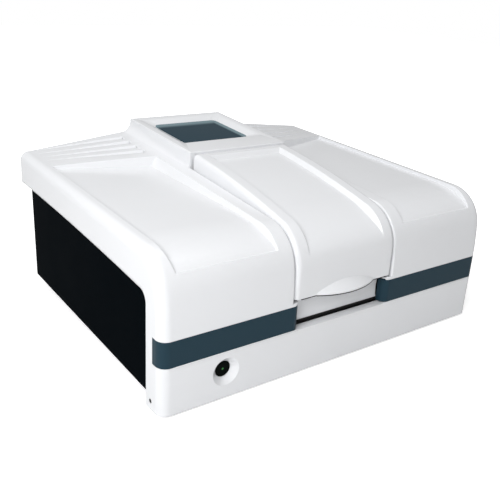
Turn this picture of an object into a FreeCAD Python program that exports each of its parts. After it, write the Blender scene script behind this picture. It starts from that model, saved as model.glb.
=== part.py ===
"""Bench uv-vis spectrophotometer, built up from the pieces that it comes apart into.

Millimetres, +Z up, the front faces -Y. Every piece is drawn with y = 0 at the front face
and z = 0 at the desk, and place() then moves it so that the origin lies under the middle
of the whole instrument.
"""
import FreeCAD, Part
import math
import os

Vector = FreeCAD.Vector

# Casing: overall form
WIDTH = 700.0
DEPTH = 584.0
BEZEL_FOOT = 3.0
WALL = 3.5
EDGE_ROUND = 17.0
SHOULDER_Z = 132.0
LEAN_RADIUS = 500.0
BROW_RADIUS = 70.0
BROW_TOP_Z = 256.5
OUTER_SLOPE_DEG = 1.3
INNER_SLOPE_DEG = 4.0
REAR_RIM_INSET = 19.0
BEZEL_RETURN = 45.5
SKIRT_FRONT_Z = 192.0
SKIRT_MIDDLE = (246.0, 201.0)
SKIRT_REAR_Z = 207.0
SKIRT_CORNER = 19.0

# Casing: well of the compartment lid, and the tower behind it
WELL_HALF = 110.5
WELL_LIP = 20.0
WELL_EDGE_ROUND = 3.5
TOWER_OVERHANG = 1.0
TOWER_FRONT_Y = 331.5
TOWER_FRONT_Z = 303.0
TOWER_SLOPE_DEG = 3.3
TOWER_FOOT_FRONT = 6.0
TOWER_FOOT_REAR = 24.0
TOWER_EDGE_ROUND = 2.5

# Casing: dished wings and their fanned louvre grooves
DISH_INNER_INSET = 27.5
DISH_OUTER_INSET = 23.0
DISH_BACK_INNER_Y = 413.0
DISH_BACK_OUTER_Y = 470.0
DISH_RIM_Z = 266.0
DISH_DEPTH = 5.0
DISH_INNER_DRAFT_DEG = 30.0
DISH_REACH = 6.0
DISH_OUTER_DRAFT_DEG = 12.0
DISH_BACK_DRAFT_DEG = 20.0
DISH_FADE_Z = 204.0
DISH_FLAT_Y = 118.0
GROOVES = 4
GROOVE_INNER_INSET = 6.0
GROOVE_OUTER_INSET = 4.0
GROOVE_INNER_Y = 461.0
GROOVE_INNER_PITCH = 32.5
GROOVE_OUTER_Y = 507.0
GROOVE_OUTER_PITCH = 24.5
GROOVE_RUN = 20.0
GROOVE_DEPTH = 5.5
GROOVE_WALL_RUN = 2.5

# Window in the top of the tower
RECESS_HALF = 97.0
RECESS_FRONT = 57.0
RECESS_LENGTH = 178.0
RECESS_DEPTH = 9.0
RECESS_BEVEL = 21.5
RECESS_CORNER = 10.0
WINDOW_THICK = 2.0
WINDOW_LEDGE = 6.0

# Colour bands, centre recess and the ledge under it
BAND_BOTTOM_Z = 85.0
BAND_HEIGHT = 44.0
BAND_THICK = 2.0
BAND_SIDE_REACH = 26.0
RECESS_X = 96.0
POST_ROUND = 13.0
LEDGE_Z = 84.0
LEDGE_REACH = 16.0
SHELF_Z = 134.0
FRONT_PLATE_Y = 18.0
FRONT_PLATE_BOW = 3.0
FRONT_SLOT = 3.0

# Clearances
TRIM_GAP = 0.3
RUN_GAP = 0.4
SHAFT_GAP = 0.05

# Compartment lid
LID_HALF = 108.5
LID_WALL = 3.0
LID_FRONT_Y = 0.5
LID_BOTTOM_Z = 139.0
LID_CROWN_DEG = 13.2
LID_REAR_Z = 300.5
LID_EDGE_ROUND = 9.0
HINGE_ROLL = 10.0
LINER_DROP = 11.5
LID_SIDE_DROP = 13.0
SEAL_THICK = 2.5
SEAL_WIDTH = 5.0
LINER_THICK = 2.0
LID_DISH_HALF = 83.0
LID_DISH_BACK_Y = 309.0
LID_DISH_DEPTH = 8.0
LID_DISH_DRAFT_DEG = 42.0
LID_DISH_FADE_Z = 206.0
LID_DISH_FLAT_Y = 112.0
LIP_HALF = 66.0
LIP_REACH = 17.0
LIP_RISE = 15.0
LIP_EDGE = 2.5

# Hinge of the lid
HINGE_PIN_R = 3.0
KNUCKLE_R = 6.5
ARM_X = 91.0
ARM_THICK = 4.0
ARM_LENGTH = 60.0
BRACKET_X = 97.0
BRACKET_THICK = 3.0
BRACKET_HALF = 6.0

# Chassis
PANEL_INSET = 4.8
PANEL_THICK = 1.5
PANEL_BOTTOM_Z = 22.0
PANEL_TOP_Z = 232.0
PANEL_FLANGE = 12.0
CHASSIS_DEPTH = 540.0
PAN_THICK = 2.0
PAN_FLANGE = 20.0
REAR_PANEL_TOP_Z = 246.5
FOOT_RADIUS = 15.0
FOOT_INSET_X = 60.0
FOOT_FRONT_Y = 60.0
FOOT_REAR_INSET = 60.0

# Optical bench and sample compartment
MOUNT_HEIGHT = 10.0
MOUNT_RADIUS = 12.0
BENCH_THICK = 12.0
BENCH_INSET = 18.0
BENCH_FRONT_Y = 44.0
BENCH_REAR_INSET = 35.0
BENCH_SKIN = 4.0
TUB_INSET = 14.5
TUB_WALL = 3.0
TUB_FRONT_Y = 25.0
TUB_REAR_Y = 296.0
TUB_FLOOR_Z = 66.0
TUB_LEG_RADIUS = 8.0
SAMPLE_Y = 123.0
REFERENCE_Y = 207.0
BEAM_PORT_R = 11.0
RING_R = 16.0
RING_BORE_R = 9.0
RING_THICK = 3.0
HOLDER_BASE_THICK = 6.0
HOLDER_WIDTH = 34.0
HOLDER_HEIGHT = 48.0
CELL_SLOT = 12.7
CELL_DEPTH = 42.0
CELL_WINDOW_R = 4.0
CELL_CENTRE = 15.0
HOLDER_BASE_HALF = 45.0

# Power button
BUTTON_INSET = 114.0
BUTTON_Z = 49.0
BUTTON_RIM_R = 24.0
BUTTON_R = 14.0
BUTTON_DEPTH = 10.0
BUTTON_TRAVEL = 2.5
BUTTON_STEM_R = 3.0
INDICATOR_R = 1.8
SWITCH_SIZE = 30.0
SWITCH_DEPTH = 20.0

# Screws of the bezel
SCREW_Y = 31.4
SCREW_Z = 17.4
SCREW_HEAD_R = 3.6
SCREW_SINK = 1.5

# Rear services
FAN_INSET = 100.0
FAN_Z = 92.0
FAN_SIZE = 80.0
FAN_DEPTH = 25.0
FAN_HUB_R = 18.0
FAN_BLADES = 7
FAN_SWEEP_R = 37.0
INLET_INSET = 88.0
INLET_Z = 74.0
INLET_WIDTH = 28.0
INLET_HEIGHT = 48.0
INLET_BODY = 26.0
FUSE_Z = 90.0
FUSE_WIDTH = 22.0
FUSE_HEIGHT = 9.0
FUSE_DEPTH = 20.0
SOCKET_Z = 68.0
SOCKET_WIDTH = 24.0
SOCKET_HEIGHT = 17.0
SOCKET_DEPTH = 16.0
PORT_INSET = 160.0
PORT_Z = 74.0
PORT_HALF_X = 10.0
PORT_HALF_Z = 6.0
VENT_SLOTS = 12
VENT_PITCH = 14.0

# Light path
MONO_LEFT_X = -328.0
MONO_RIGHT_X = -158.0
MONO_FRONT_Y = 60.0
MONO_REAR_Y = 345.0
MONO_TOP_Z = 150.0
MONO_WALL = 5.0
LAMP_LEFT_X = -320.0
LAMP_RIGHT_X = -196.0
LAMP_FRONT_Y = 384.0
LAMP_REAR_Y = 498.0
LAMP_TOP_Z = 156.0
SHEET = 1.5
DETECTOR_LEFT_X = 112.0
DETECTOR_RIGHT_X = 190.0
DETECTOR_FRONT_Y = 84.0
DETECTOR_REAR_Y = 246.0
DETECTOR_TOP_Z = 140.0
COVER_THICK = 4.0
ENTRY_X = -260.0
MIRROR_X = -138.0
MIRROR_WIDTH = 26.0
MIRROR_THICK = 4.0
CHOPPER_X = -114.0
CHOPPER_RISE = 20.0
CHOPPER_R = 58.0
WHEEL_THICK = 2.0
CHOPPER_MOTOR_R = 13.0
CHOPPER_MOTOR_X = -148.0
SHAFT_R = 2.0
FILTER_X = -230.0
FILTER_Y = 372.0
FILTER_R = 42.0
FILTERS = 6
FILTER_HOLE_R = 8.0
FILTER_MOTOR_R = 12.0
FILTER_MOTOR_Y = 351.0
GRATING_X = -245.0
GRATING_Y = 215.0
TURRET_R = 28.0
TURRET_Z = 70.0
GRATING_MOTOR_R = 18.0
SOURCE_Y = 408.0
DEUTERIUM_X = -292.0
TUNGSTEN_X = -224.0
LAMP_Y = 462.0
LAMP_BASE_R = 15.0
LAMP_BULB_R = 13.0
BOARD_LEFT_X = 125.0
BOARD_RIGHT_X = 330.0
BOARD_FRONT_Y = 262.0
BOARD_REAR_Y = 480.0
BOARD_LIFT = 10.0
BOARD_THICK = 1.6
SUPPLY_LEFT_X = 215.0
SUPPLY_RIGHT_X = 328.0
SUPPLY_FRONT_Y = 60.0
SUPPLY_REAR_Y = 232.0
SUPPLY_HEIGHT = 50.0
POST_X = 92.0
POST_Y = 353.0
POST_R = 6.0

HALF = WIDTH / 2.0
REAR_RIM_X = HALF - REAR_RIM_INSET
TOWER_HALF = WELL_HALF + TOWER_OVERHANG
DISH_INNER_X = WELL_HALF + DISH_INNER_INSET
DISH_OUTER_X = HALF - DISH_OUTER_INSET
GROOVE_INNER_X = DISH_INNER_X + GROOVE_INNER_INSET
GROOVE_OUTER_X = DISH_OUTER_X - GROOVE_OUTER_INSET
TUB_HALF = WELL_HALF - TUB_INSET
BUTTON_X = BUTTON_INSET - HALF
BENCH_HALF = HALF - BENCH_INSET
BENCH_REAR_Y = CHASSIS_DEPTH - BENCH_REAR_INSET
FOOT_REAR_Y = CHASSIS_DEPTH - FOOT_REAR_INSET
FAN_X = FAN_INSET - HALF
INLET_X = HALF - INLET_INSET
PORT_X = HALF - PORT_INSET
PANEL_X = HALF - PANEL_INSET
PAN_X = PANEL_X - PANEL_THICK
BENCH_Z = PANEL_BOTTOM_Z + PAN_THICK + MOUNT_HEIGHT
BENCH_TOP_Z = BENCH_Z + BENCH_THICK
BROW_ANGLE = math.asin((BROW_TOP_Z - SHOULDER_Z - BROW_RADIUS) / (LEAN_RADIUS - BROW_RADIUS))
BROW_Y = LEAN_RADIUS - (LEAN_RADIUS - BROW_RADIUS) * math.cos(BROW_ANGLE)
BROW_Z = SHOULDER_Z + (LEAN_RADIUS - BROW_RADIUS) * math.sin(BROW_ANGLE)
BEAM_Z = TUB_FLOOR_Z + HOLDER_BASE_THICK + HOLDER_HEIGHT - CELL_DEPTH + CELL_CENTRE
LID_BROW = BROW_Y - LID_FRONT_Y
LINER_BOTTOM = LINER_DROP + LINER_THICK
SEAL_DROP = LINER_BOTTOM + RUN_GAP
FLANGE_DROP = SEAL_DROP + SEAL_THICK
TUB_BOTTOM_Z = TUB_FLOOR_Z - TUB_WALL
LID_REAR_Y = TOWER_FRONT_Y - 1.5
HINGE_Y = LID_REAR_Y - HINGE_ROLL
HINGE_Z = LID_REAR_Z - HINGE_ROLL
ORIGIN_Y = (DEPTH - LIP_REACH + LID_FRONT_Y) / 2.0


def place(shape):
    """Move a shape from the drawing frame to the part's own frame."""
    moved = shape.copy()
    moved.translate(Vector(0, -ORIGIN_Y, 0))
    return moved


def export(name, shape):
    """Write one sub-part, and stop on anything that isn't a sound solid."""
    solids = shape.Solids
    if not solids or not shape.isValid():
        raise ValueError(name + " isn't a valid solid")
    result = solids[0] if len(solids) == 1 else Part.makeCompound(solids)
    place(result).exportStep("parts/" + name + ".step")


def box(x0, x1, y0, y1, z0, z1):
    """Box between two corners."""
    return Part.makeBox(x1 - x0, y1 - y0, z1 - z0, Vector(x0, y0, z0))


def rod(radius, start, end):
    """Cylinder from one point to another."""
    run = Vector(*end).sub(Vector(*start))
    return Part.makeCylinder(radius, run.Length, Vector(*start), run)


def tube(radius, bore, start, end):
    """Hollow cylinder from one point to another."""
    return rod(radius, start, end).cut(rod(bore, start, end))


def mirrored(shape):
    """The same shape on the other side of the middle plane."""
    return shape.mirror(Vector(0, 0, 0), Vector(1, 0, 0))


def fused(shapes):
    """Several solids as one."""
    return shapes[0].multiFuse(shapes[1:]).removeSplitter()


def point(y, z, x=0.0):
    """Point of a side profile."""
    return Vector(x, y, z)


def segment(a, b):
    """Straight edge."""
    return Part.LineSegment(a, b).toShape()


def arc(centre_y, centre_z, radius, from_deg, to_deg, x=0.0):
    """Arc in a side profile. Angles run from +Y towards +Z."""
    ends = []
    for angle in (from_deg, (from_deg + to_deg) / 2.0, to_deg):
        turn = math.radians(angle)
        ends.append(Vector(x, centre_y + radius * math.cos(turn), centre_z + radius * math.sin(turn)))
    return Part.Arc(*ends).toShape()


def bezier(poles):
    """Smooth edge led by its poles."""
    curve = Part.BezierCurve()
    curve.setPoles(poles)
    return curve.toShape()


def chain(points):
    """Straight edges through several points."""
    return [segment(a, b) for a, b in zip(points, points[1:])]


def slab(edges, x0, x1):
    """Side profile, closed by its edges, carried across from x0 to x1."""
    face = Part.Face(Part.Wire(Part.sortEdges(edges)[0]))
    face.translate(Vector(x0 - face.BoundBox.XMin, 0, 0))
    return face.extrude(Vector(x1 - x0, 0, 0))


def rounded_rectangle(x0, x1, y0, y1, z, radius):
    """Flat wire with round corners, seen from above."""
    plate = box(x0, x1, y0, y1, z, z + 1.0)
    upright = [edge for edge in plate.Edges if edge.BoundBox.ZLength > 0.5]
    plate = plate.makeFillet(radius, upright)
    bottom = min(plate.Faces, key=lambda face: face.CenterOfMass.z)
    return bottom.OuterWire


def rounded_plate(x0, x1, y0, y1, z0, z1, radius):
    """Plate with round upright corners."""
    wire = rounded_rectangle(x0, x1, y0, y1, z0, radius)
    return Part.Face(wire).extrude(Vector(0, 0, z1 - z0))


def edges_on_plane(shape, x, test):
    """Edges of a shape that lie at one x and pass a test of their middle point."""
    found = []
    for edge in shape.Edges:
        span = edge.BoundBox
        if abs(span.XMin - x) < 0.01 and abs(span.XMax - x) < 0.01:
            if test(span.Center):
                found.append(edge)
    return found


def top_of_slope(y, slope_deg, inset=0.0):
    """Height of the wing's top line at a distance behind the front face."""
    slope = math.radians(slope_deg)
    start_y = BROW_Y - (BROW_RADIUS - inset) * math.sin(slope)
    start_z = BROW_Z + (BROW_RADIUS - inset) * math.cos(slope)
    return start_z + (y - start_y) * math.tan(slope)


def wing_edges(inset, slope_deg):
    """Side profile of a wing: upright front, round brow, sloping top and upright back."""
    base = BEZEL_FOOT - (1.0 if inset else 0.0)
    back = DEPTH - inset
    brow_deg = 180.0 - math.degrees(BROW_ANGLE)
    brow_r = BROW_RADIUS - inset
    lean = arc(LEAN_RADIUS, SHOULDER_Z, LEAN_RADIUS - inset, 180.0, brow_deg)
    brow = arc(BROW_Y, BROW_Z, brow_r, brow_deg, 90.0 + slope_deg)
    edges = [segment(point(inset, base), point(inset, SHOULDER_Z)), lean, brow]
    crest = point(back, top_of_slope(back, slope_deg, inset))
    return edges + chain([brow.Vertexes[-1].Point, crest, point(back, base), point(inset, base)])


def wing_top_z(x, y):
    """Height of a wing's top, which falls from the centre to the outer rim."""
    share = (x - WELL_HALF) / (REAR_RIM_X - WELL_HALF)
    inner = top_of_slope(y, INNER_SLOPE_DEG)
    return inner + share * (top_of_slope(y, OUTER_SLOPE_DEG) - inner)


def wing_body(inner_x, outer_x, inset, rounding):
    """Right wing as a solid: a twisted top that rises towards the centre, and a round outer rim."""
    rim = slab(wing_edges(inset, OUTER_SLOPE_DEG), REAR_RIM_X, outer_x)
    outer = edges_on_plane(rim, outer_x, lambda c: c.y < DEPTH - 20.0 and c.z > BEZEL_FOOT + 20.0)
    rim = rim.makeFillet(rounding, outer)
    layers = []
    for x, slope_deg in ((inner_x, INNER_SLOPE_DEG), (REAR_RIM_X, OUTER_SLOPE_DEG)):
        layer = Part.Wire(Part.sortEdges(wing_edges(inset, slope_deg))[0])
        layer.translate(Vector(x, 0, 0))
        layers.append(layer)
    body = Part.makeLoft(layers, True, True)
    if not inset:
        brow = edges_on_plane(body, inner_x, lambda c: c.z > SHOULDER_Z and c.y < DEPTH - 20.0)
        body = body.makeFillet(WELL_EDGE_ROUND, brow)
    return body.fuse(rim)


def tower_frame(shape):
    """Turn a shape drawn flat, from the tower's front edge, on to its sloping top."""
    shape.rotate(Vector(0, 0, 0), Vector(1, 0, 0), TOWER_SLOPE_DEG)
    shape.translate(Vector(0, TOWER_FRONT_Y, TOWER_FRONT_Z))
    return shape


def tower_body(half, inset):
    """Tower with its sloping top, down to the height of the well's floor."""
    front = TOWER_FRONT_Y + inset
    back = DEPTH - inset
    rise = math.tan(math.radians(TOWER_SLOPE_DEG))
    low = SKIRT_REAR_Z - inset
    outline = [
        point(front, low),
        point(front, TOWER_FRONT_Z - inset + inset * rise),
        point(back, TOWER_FRONT_Z - inset + (back - TOWER_FRONT_Y) * rise),
        point(back, low),
        point(front, low),
    ]
    return slab(chain(outline), -half, half)


def dish_floor(drop):
    """Space above the floor of a wing's dish, which fades into the brow at its front."""
    slope = math.radians(OUTER_SLOPE_DEG)
    rise = math.asin((DISH_FADE_Z - BROW_Z) / BROW_RADIUS)
    brow_r = BROW_RADIUS - drop
    depth = DISH_DEPTH + drop
    start = point(BROW_Y - brow_r * math.cos(rise), BROW_Z + brow_r * math.sin(rise))
    flat = point(DISH_FLAT_Y, top_of_slope(DISH_FLAT_Y, OUTER_SLOPE_DEG) - depth)
    rear = point(DEPTH + 20.0, top_of_slope(DEPTH + 20.0, OUTER_SLOPE_DEG) - depth)
    pull = 48.0
    fade = bezier([
        start,
        start + point(pull * 0.8 * math.sin(rise), pull * 0.8 * math.cos(rise)),
        flat - point(pull * math.cos(slope), pull * math.sin(slope)),
        flat,
    ])
    high = BROW_TOP_Z + 100.0
    rest = chain([flat, rear, point(rear.y, high), point(-60.0, high), point(-60.0, start.z), start])
    return slab([fade] + rest, 0.0, HALF + 20.0)


def flank(profile, top_x, draft_deg, depth, sign):
    """Solid under a drafted wall that follows a profile. Its top edge stays at top_x."""
    run = math.tan(math.radians(draft_deg)) * sign
    layers = []
    for inset in (-DISH_REACH, depth):
        layer = Part.Wire(Part.sortEdges(profile(inset))[0])
        layer.translate(Vector(top_x + inset * run, 0, 0))
        layers.append(layer)
    return Part.makeLoft(layers, True, True)


def dish_slope_deg():
    """Slope of a wing's top line along the inner edge of its dish."""
    rise = wing_top_z(DISH_INNER_X, DEPTH) - wing_top_z(DISH_INNER_X, BROW_Y)
    return math.degrees(math.atan(rise / (DEPTH - BROW_Y)))


def dish_cutter(grow, drop):
    """Right wing's dish: drafted side walls over a floor. grow and drop leave a wall round it."""
    layers = []
    inner_x = DISH_INNER_X - grow / math.cos(math.radians(DISH_INNER_DRAFT_DEG))
    start_x = inner_x - DISH_REACH * math.tan(math.radians(DISH_INNER_DRAFT_DEG))
    fall = (DISH_BACK_OUTER_Y - DISH_BACK_INNER_Y) / (DISH_OUTER_X - DISH_INNER_X)
    for z, down in ((DISH_RIM_Z - 40.0, 40.0), (DISH_RIM_Z, 0.0), (DISH_RIM_Z + 50.0, 0.0)):
        outer = DISH_OUTER_X + grow - down * math.tan(math.radians(DISH_OUTER_DRAFT_DEG))
        back = DISH_BACK_INNER_Y + grow - (DISH_RIM_Z - z) * math.tan(math.radians(DISH_BACK_DRAFT_DEG))
        outline = [
            Vector(start_x, -50.0, z),
            Vector(outer, -50.0, z),
            Vector(outer, back + (outer - DISH_INNER_X) * fall, z),
            Vector(start_x, back + (start_x - DISH_INNER_X) * fall, z),
            Vector(start_x, -50.0, z),
        ]
        layers.append(Part.makePolygon(outline))
    slope_deg = dish_slope_deg()
    wall = flank(lambda inset: wing_edges(inset, slope_deg), inner_x, DISH_INNER_DRAFT_DEG, 40.0, 1.0)
    prism = Part.makeLoft(layers, True, True).cut(wall)
    return prism.common(dish_floor(drop))


def groove_cutter(index):
    """One fanned louvre groove of the right wing: deep at its inner end, a point at its outer end."""
    fan = []
    ends = (
        (GROOVE_INNER_X, GROOVE_INNER_Y + index * GROOVE_INNER_PITCH, 1.0),
        (GROOVE_OUTER_X, GROOVE_OUTER_Y + index * GROOVE_OUTER_PITCH, 0.04),
    )
    for x, y, share in ends:
        surface = wing_top_z(x, y)
        low = surface - GROOVE_DEPTH * share
        run = GROOVE_RUN * share
        rise = 3.0
        steep = GROOVE_WALL_RUN * share
        fan.append(Part.makePolygon([
            Vector(x, y - run, surface),
            Vector(x, y - run, surface + rise),
            Vector(x, y + steep * rise / GROOVE_DEPTH, surface + rise),
            Vector(x, y - steep, low),
            Vector(x, y - run, surface),
        ]))
    return Part.makeLoft(fan, True, True)


def skirt_cutter():
    """Everything below the skirt of the casing, behind the return of the bezel."""
    low = BEZEL_FOOT - 10.0
    beyond = DEPTH + 30.0
    corner_y = BEZEL_RETURN + SKIRT_CORNER
    corner = arc(corner_y, SKIRT_FRONT_Z - SKIRT_CORNER, SKIRT_CORNER, 180.0, 90.0)
    sweep = Part.Arc(
        point(corner_y, SKIRT_FRONT_Z),
        point(*SKIRT_MIDDLE),
        point(beyond, SKIRT_REAR_Z),
    ).toShape()
    rest = chain([
        point(beyond, SKIRT_REAR_Z),
        point(beyond, low),
        point(BEZEL_RETURN, low),
        point(BEZEL_RETURN, SKIRT_FRONT_Z - SKIRT_CORNER),
    ])
    return slab([corner, sweep] + rest, -HALF - 20.0, HALF + 20.0)


def tower_recess(grow, deeper):
    """Sunken bevelled frame in the top of the tower."""
    slope = RECESS_BEVEL / RECESS_DEPTH
    layers = []
    for depth in (-4.0, RECESS_DEPTH + deeper):
        step = slope * depth - grow
        layers.append(rounded_rectangle(
            -RECESS_HALF + step, RECESS_HALF - step,
            RECESS_FRONT + step, RECESS_FRONT + RECESS_LENGTH - step,
            -depth, RECESS_CORNER,
        ))
    return tower_frame(Part.makeLoft(layers, True, True))


def window_plate(shrink, top, thick):
    """Plate with the outline of the recess's floor."""
    edge = RECESS_BEVEL + shrink
    plate = rounded_plate(
        -RECESS_HALF + edge, RECESS_HALF - edge,
        RECESS_FRONT + edge, RECESS_FRONT + RECESS_LENGTH - edge,
        -top - thick, -top, RECESS_CORNER,
    )
    return tower_frame(plate)


def front_form(inset):
    """Front of the casing, full width, up to the shoulder, with its round upright corners."""
    radius = EDGE_ROUND - inset
    return rounded_plate(
        -HALF + inset, HALF - inset, inset, BEZEL_RETURN * 2.0,
        BEZEL_FOOT - 1.0, SHELF_Z + 1.0, radius,
    )


def centre_notch(grow):
    """Space of the recess between the two bands, with corners for the bands to wrap round."""
    outline_half = RECESS_X - grow
    block = box(-outline_half, outline_half, -1.0, 60.0, LEDGE_Z, SHELF_Z + 10.0)
    flare = []
    for side in (-1.0, 1.0):
        centre = (side * (RECESS_X + POST_ROUND), POST_ROUND)
        corner = box(
            min(side * outline_half, centre[0]), max(side * outline_half, centre[0]),
            -1.0, POST_ROUND, LEDGE_Z, SHELF_Z + 10.0,
        )
        post = rod(POST_ROUND + grow, (centre[0], centre[1], 0), (centre[0], centre[1], SHELF_Z + 20.0))
        flare.append(corner.cut(post))
    return block.fuse(flare)


def band(side):
    """Colour band of one side, round the outer corner and into the centre recess."""
    skin = front_form(0.0).cut(front_form(BAND_THICK)).cut(centre_notch(0.0))
    wrap = centre_notch(-BAND_THICK).cut(centre_notch(0.0)).common(front_form(0.0))
    wrap = wrap.common(box(-HALF, HALF, 0, FRONT_PLATE_Y, LEDGE_Z, SHELF_Z))
    skin = skin.fuse(wrap)
    low = BAND_BOTTOM_Z + TRIM_GAP
    high = BAND_BOTTOM_Z + BAND_HEIGHT - TRIM_GAP
    inner, outer = sorted((side * RECESS_X * 0.9, side * HALF))
    window = box(inner, outer, -1.0, BAND_SIDE_REACH - TRIM_GAP, low, high)
    return skin.common(window).removeSplitter()


def band_rebate():
    """Rebate in the casing that takes the bands."""
    skin = front_form(0.0).cut(front_form(BAND_THICK + 0.001))
    wrap = centre_notch(-BAND_THICK - 0.001).common(box(-HALF, HALF, -1, FRONT_PLATE_Y, LEDGE_Z, SHELF_Z))
    window = box(-HALF, HALF, -1.0, BAND_SIDE_REACH, BAND_BOTTOM_Z, BAND_BOTTOM_Z + BAND_HEIGHT)
    return skin.fuse(wrap).common(window)


def button_bowl():
    """Conical bowl in the bezel, with the tube that guides the button."""
    centre = Vector(BUTTON_X, 0, BUTTON_Z)
    outer = Part.makeCone(
        BUTTON_RIM_R + WALL, BUTTON_R + WALL, BUTTON_DEPTH, centre, Vector(0, 1, 0))
    guide = rod(BUTTON_R + WALL, (BUTTON_X, BUTTON_DEPTH, BUTTON_Z), (BUTTON_X, BUTTON_DEPTH + 6.0, BUTTON_Z))
    cone = Part.makeCone(BUTTON_RIM_R, BUTTON_R, BUTTON_DEPTH, centre, Vector(0, 1, 0))
    bore = rod(BUTTON_R, (BUTTON_X, -1.0, BUTTON_Z), (BUTTON_X, BUTTON_DEPTH + 6.0, BUTTON_Z))
    return outer.fuse(guide), cone.fuse(bore)


def tower_foot_section(y, radius, ground_z, slope):
    """Concave foot of the tower's right side at one distance behind the front face."""
    end_x = TOWER_HALF + radius * (1.0 - math.sin(slope))
    end_z = ground_z - (end_x - WELL_HALF) * math.tan(slope)
    centre_z = end_z + radius * math.cos(slope)
    points = []
    for angle in (math.pi, (math.pi * 2.5 - slope) / 2.0, math.pi * 1.5 - slope):
        points.append(Vector(
            TOWER_HALF + radius + radius * math.cos(angle), y, centre_z + radius * math.sin(angle)))
    below = end_z - TOWER_FOOT_REAR
    corners = [
        points[2], Vector(end_x, y, below), Vector(TOWER_HALF - WELL_EDGE_ROUND, y, below),
        Vector(TOWER_HALF - WELL_EDGE_ROUND, y, centre_z), points[0],
    ]
    return Part.Wire([Part.Arc(*points).toShape()] + chain(corners))


def tower_foot():
    """Concave foot along the right side of the tower, wider towards the back."""
    stations = []
    for y, radius in ((TOWER_FRONT_Y, TOWER_FOOT_FRONT), (DEPTH, TOWER_FOOT_REAR)):
        slope = math.atan(wing_top_z(0.0, y) - wing_top_z(1.0, y))
        stations.append(tower_foot_section(y, radius, top_of_slope(y, INNER_SLOPE_DEG), slope))
    return Part.makeLoft(stations, True, True)


def casing_form():
    """Outer form of the casing as one solid."""
    right = wing_body(WELL_HALF, HALF, 0.0, EDGE_ROUND)
    centre_half = WELL_HALF + WELL_EDGE_ROUND * 2.0
    centre = box(-centre_half, centre_half, 0.0, TUB_FRONT_Y - RUN_GAP, BEZEL_FOOT, SHELF_Z)
    tower = tower_body(TOWER_HALF, 0.0)
    crown = [edge for edge in tower.Edges if edge.BoundBox.ZMin > TOWER_FRONT_Z - 1.0]
    tower = tower.makeFillet(TOWER_EDGE_ROUND, crown)
    foot = tower_foot()
    return fused([right, mirrored(right), centre, tower, foot, mirrored(foot)])


def dishes(grow, drop):
    """Everything pressed into the top of the right wing."""
    cutters = [dish_cutter(grow, drop)]
    for index in range(GROOVES):
        groove = groove_cutter(index)
        groove.translate(Vector(0, 0, -drop))
        cutters.append(groove)
    return cutters


def casing_void():
    """Space inside the casing, a wall's thickness under its outer form."""
    right = wing_body(WELL_HALF + WALL, HALF - WALL, WALL, EDGE_ROUND - WALL)
    right = right.cut(dishes(WALL, WALL))
    deep = slab(wing_edges(WELL_LIP, OUTER_SLOPE_DEG), -WELL_HALF - WALL * 2.0, WELL_HALF + WALL * 2.0)
    tower = tower_body(TOWER_HALF - WALL, WALL)
    shelf = box(-WELL_HALF - WALL * 2.0, WELL_HALF + WALL * 2.0, WALL, BEZEL_RETURN + 1.0,
                BEZEL_FOOT - 1.0, SHELF_Z - WALL)
    front = box(-WELL_HALF - WALL, WELL_HALF + WALL, TOWER_FRONT_Y, TOWER_FRONT_Y + WALL,
                SKIRT_REAR_Z - WALL - 1.0, BROW_TOP_Z + 60.0)
    above = box(-HALF, HALF, 0.0, TOWER_FRONT_Y, SHELF_Z - WALL, BROW_TOP_Z + 60.0)
    deep = deep.cut([front, tower_recess(WALL, WALL)])
    deep = deep.fuse(shelf.common(box(-HALF, HALF, 0, DEPTH, 0, SHELF_Z - WALL)))
    deep = deep.cut(above.common(box(-WELL_HALF, WELL_HALF, 0.0, WELL_LIP, SHELF_Z - WALL, SHELF_Z)))
    tower = tower.cut(tower_recess(WALL, WALL))
    return right.fuse([mirrored(right), deep, tower])


def top_cover():
    """One moulding: both wings, the tower and the front bezel."""
    body = casing_form()
    pressed = dishes(0.0, 0.0)
    pressed += [mirrored(cutter) for cutter in pressed]
    body = body.cut(casing_void())
    body = body.cut(pressed + [tower_recess(0.0, 0.0), skirt_cutter()])
    well = box(-WELL_HALF, WELL_HALF, -5.0, TOWER_FRONT_Y, SHELF_Z, BROW_TOP_Z + 90.0)
    opening = window_plate(WINDOW_LEDGE, RECESS_DEPTH - 1.0, WALL + 4.0)
    boss, bowl = button_bowl()
    body = body.cut([well, opening, centre_notch(0.0), band_rebate()])
    body = body.fuse(boss).cut(bowl)
    for side in (-1.0, 1.0):
        sink = rod(SCREW_HEAD_R + 0.4, (side * (HALF + 1.0), SCREW_Y, SCREW_Z),
                   (side * (HALF - SCREW_SINK), SCREW_Y, SCREW_Z))
        shank = rod(2.2, (side * (HALF + 1.0), SCREW_Y, SCREW_Z), (side * (HALF - 10.0), SCREW_Y, SCREW_Z))
        body = body.cut([sink, shank])
    ledge = box(-RECESS_X - POST_ROUND, RECESS_X + POST_ROUND, 0.5, LEDGE_REACH, LEDGE_Z - WALL, LEDGE_Z)
    return fused([body, ledge])


def lid_brow_end(inset):
    """Point where the lid's round brow passes into its crown."""
    turn = math.radians(LID_CROWN_DEG)
    radius = LID_BROW - inset
    return point(BROW_Y - radius * math.sin(turn), BROW_Z + radius * math.cos(turn))


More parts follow.
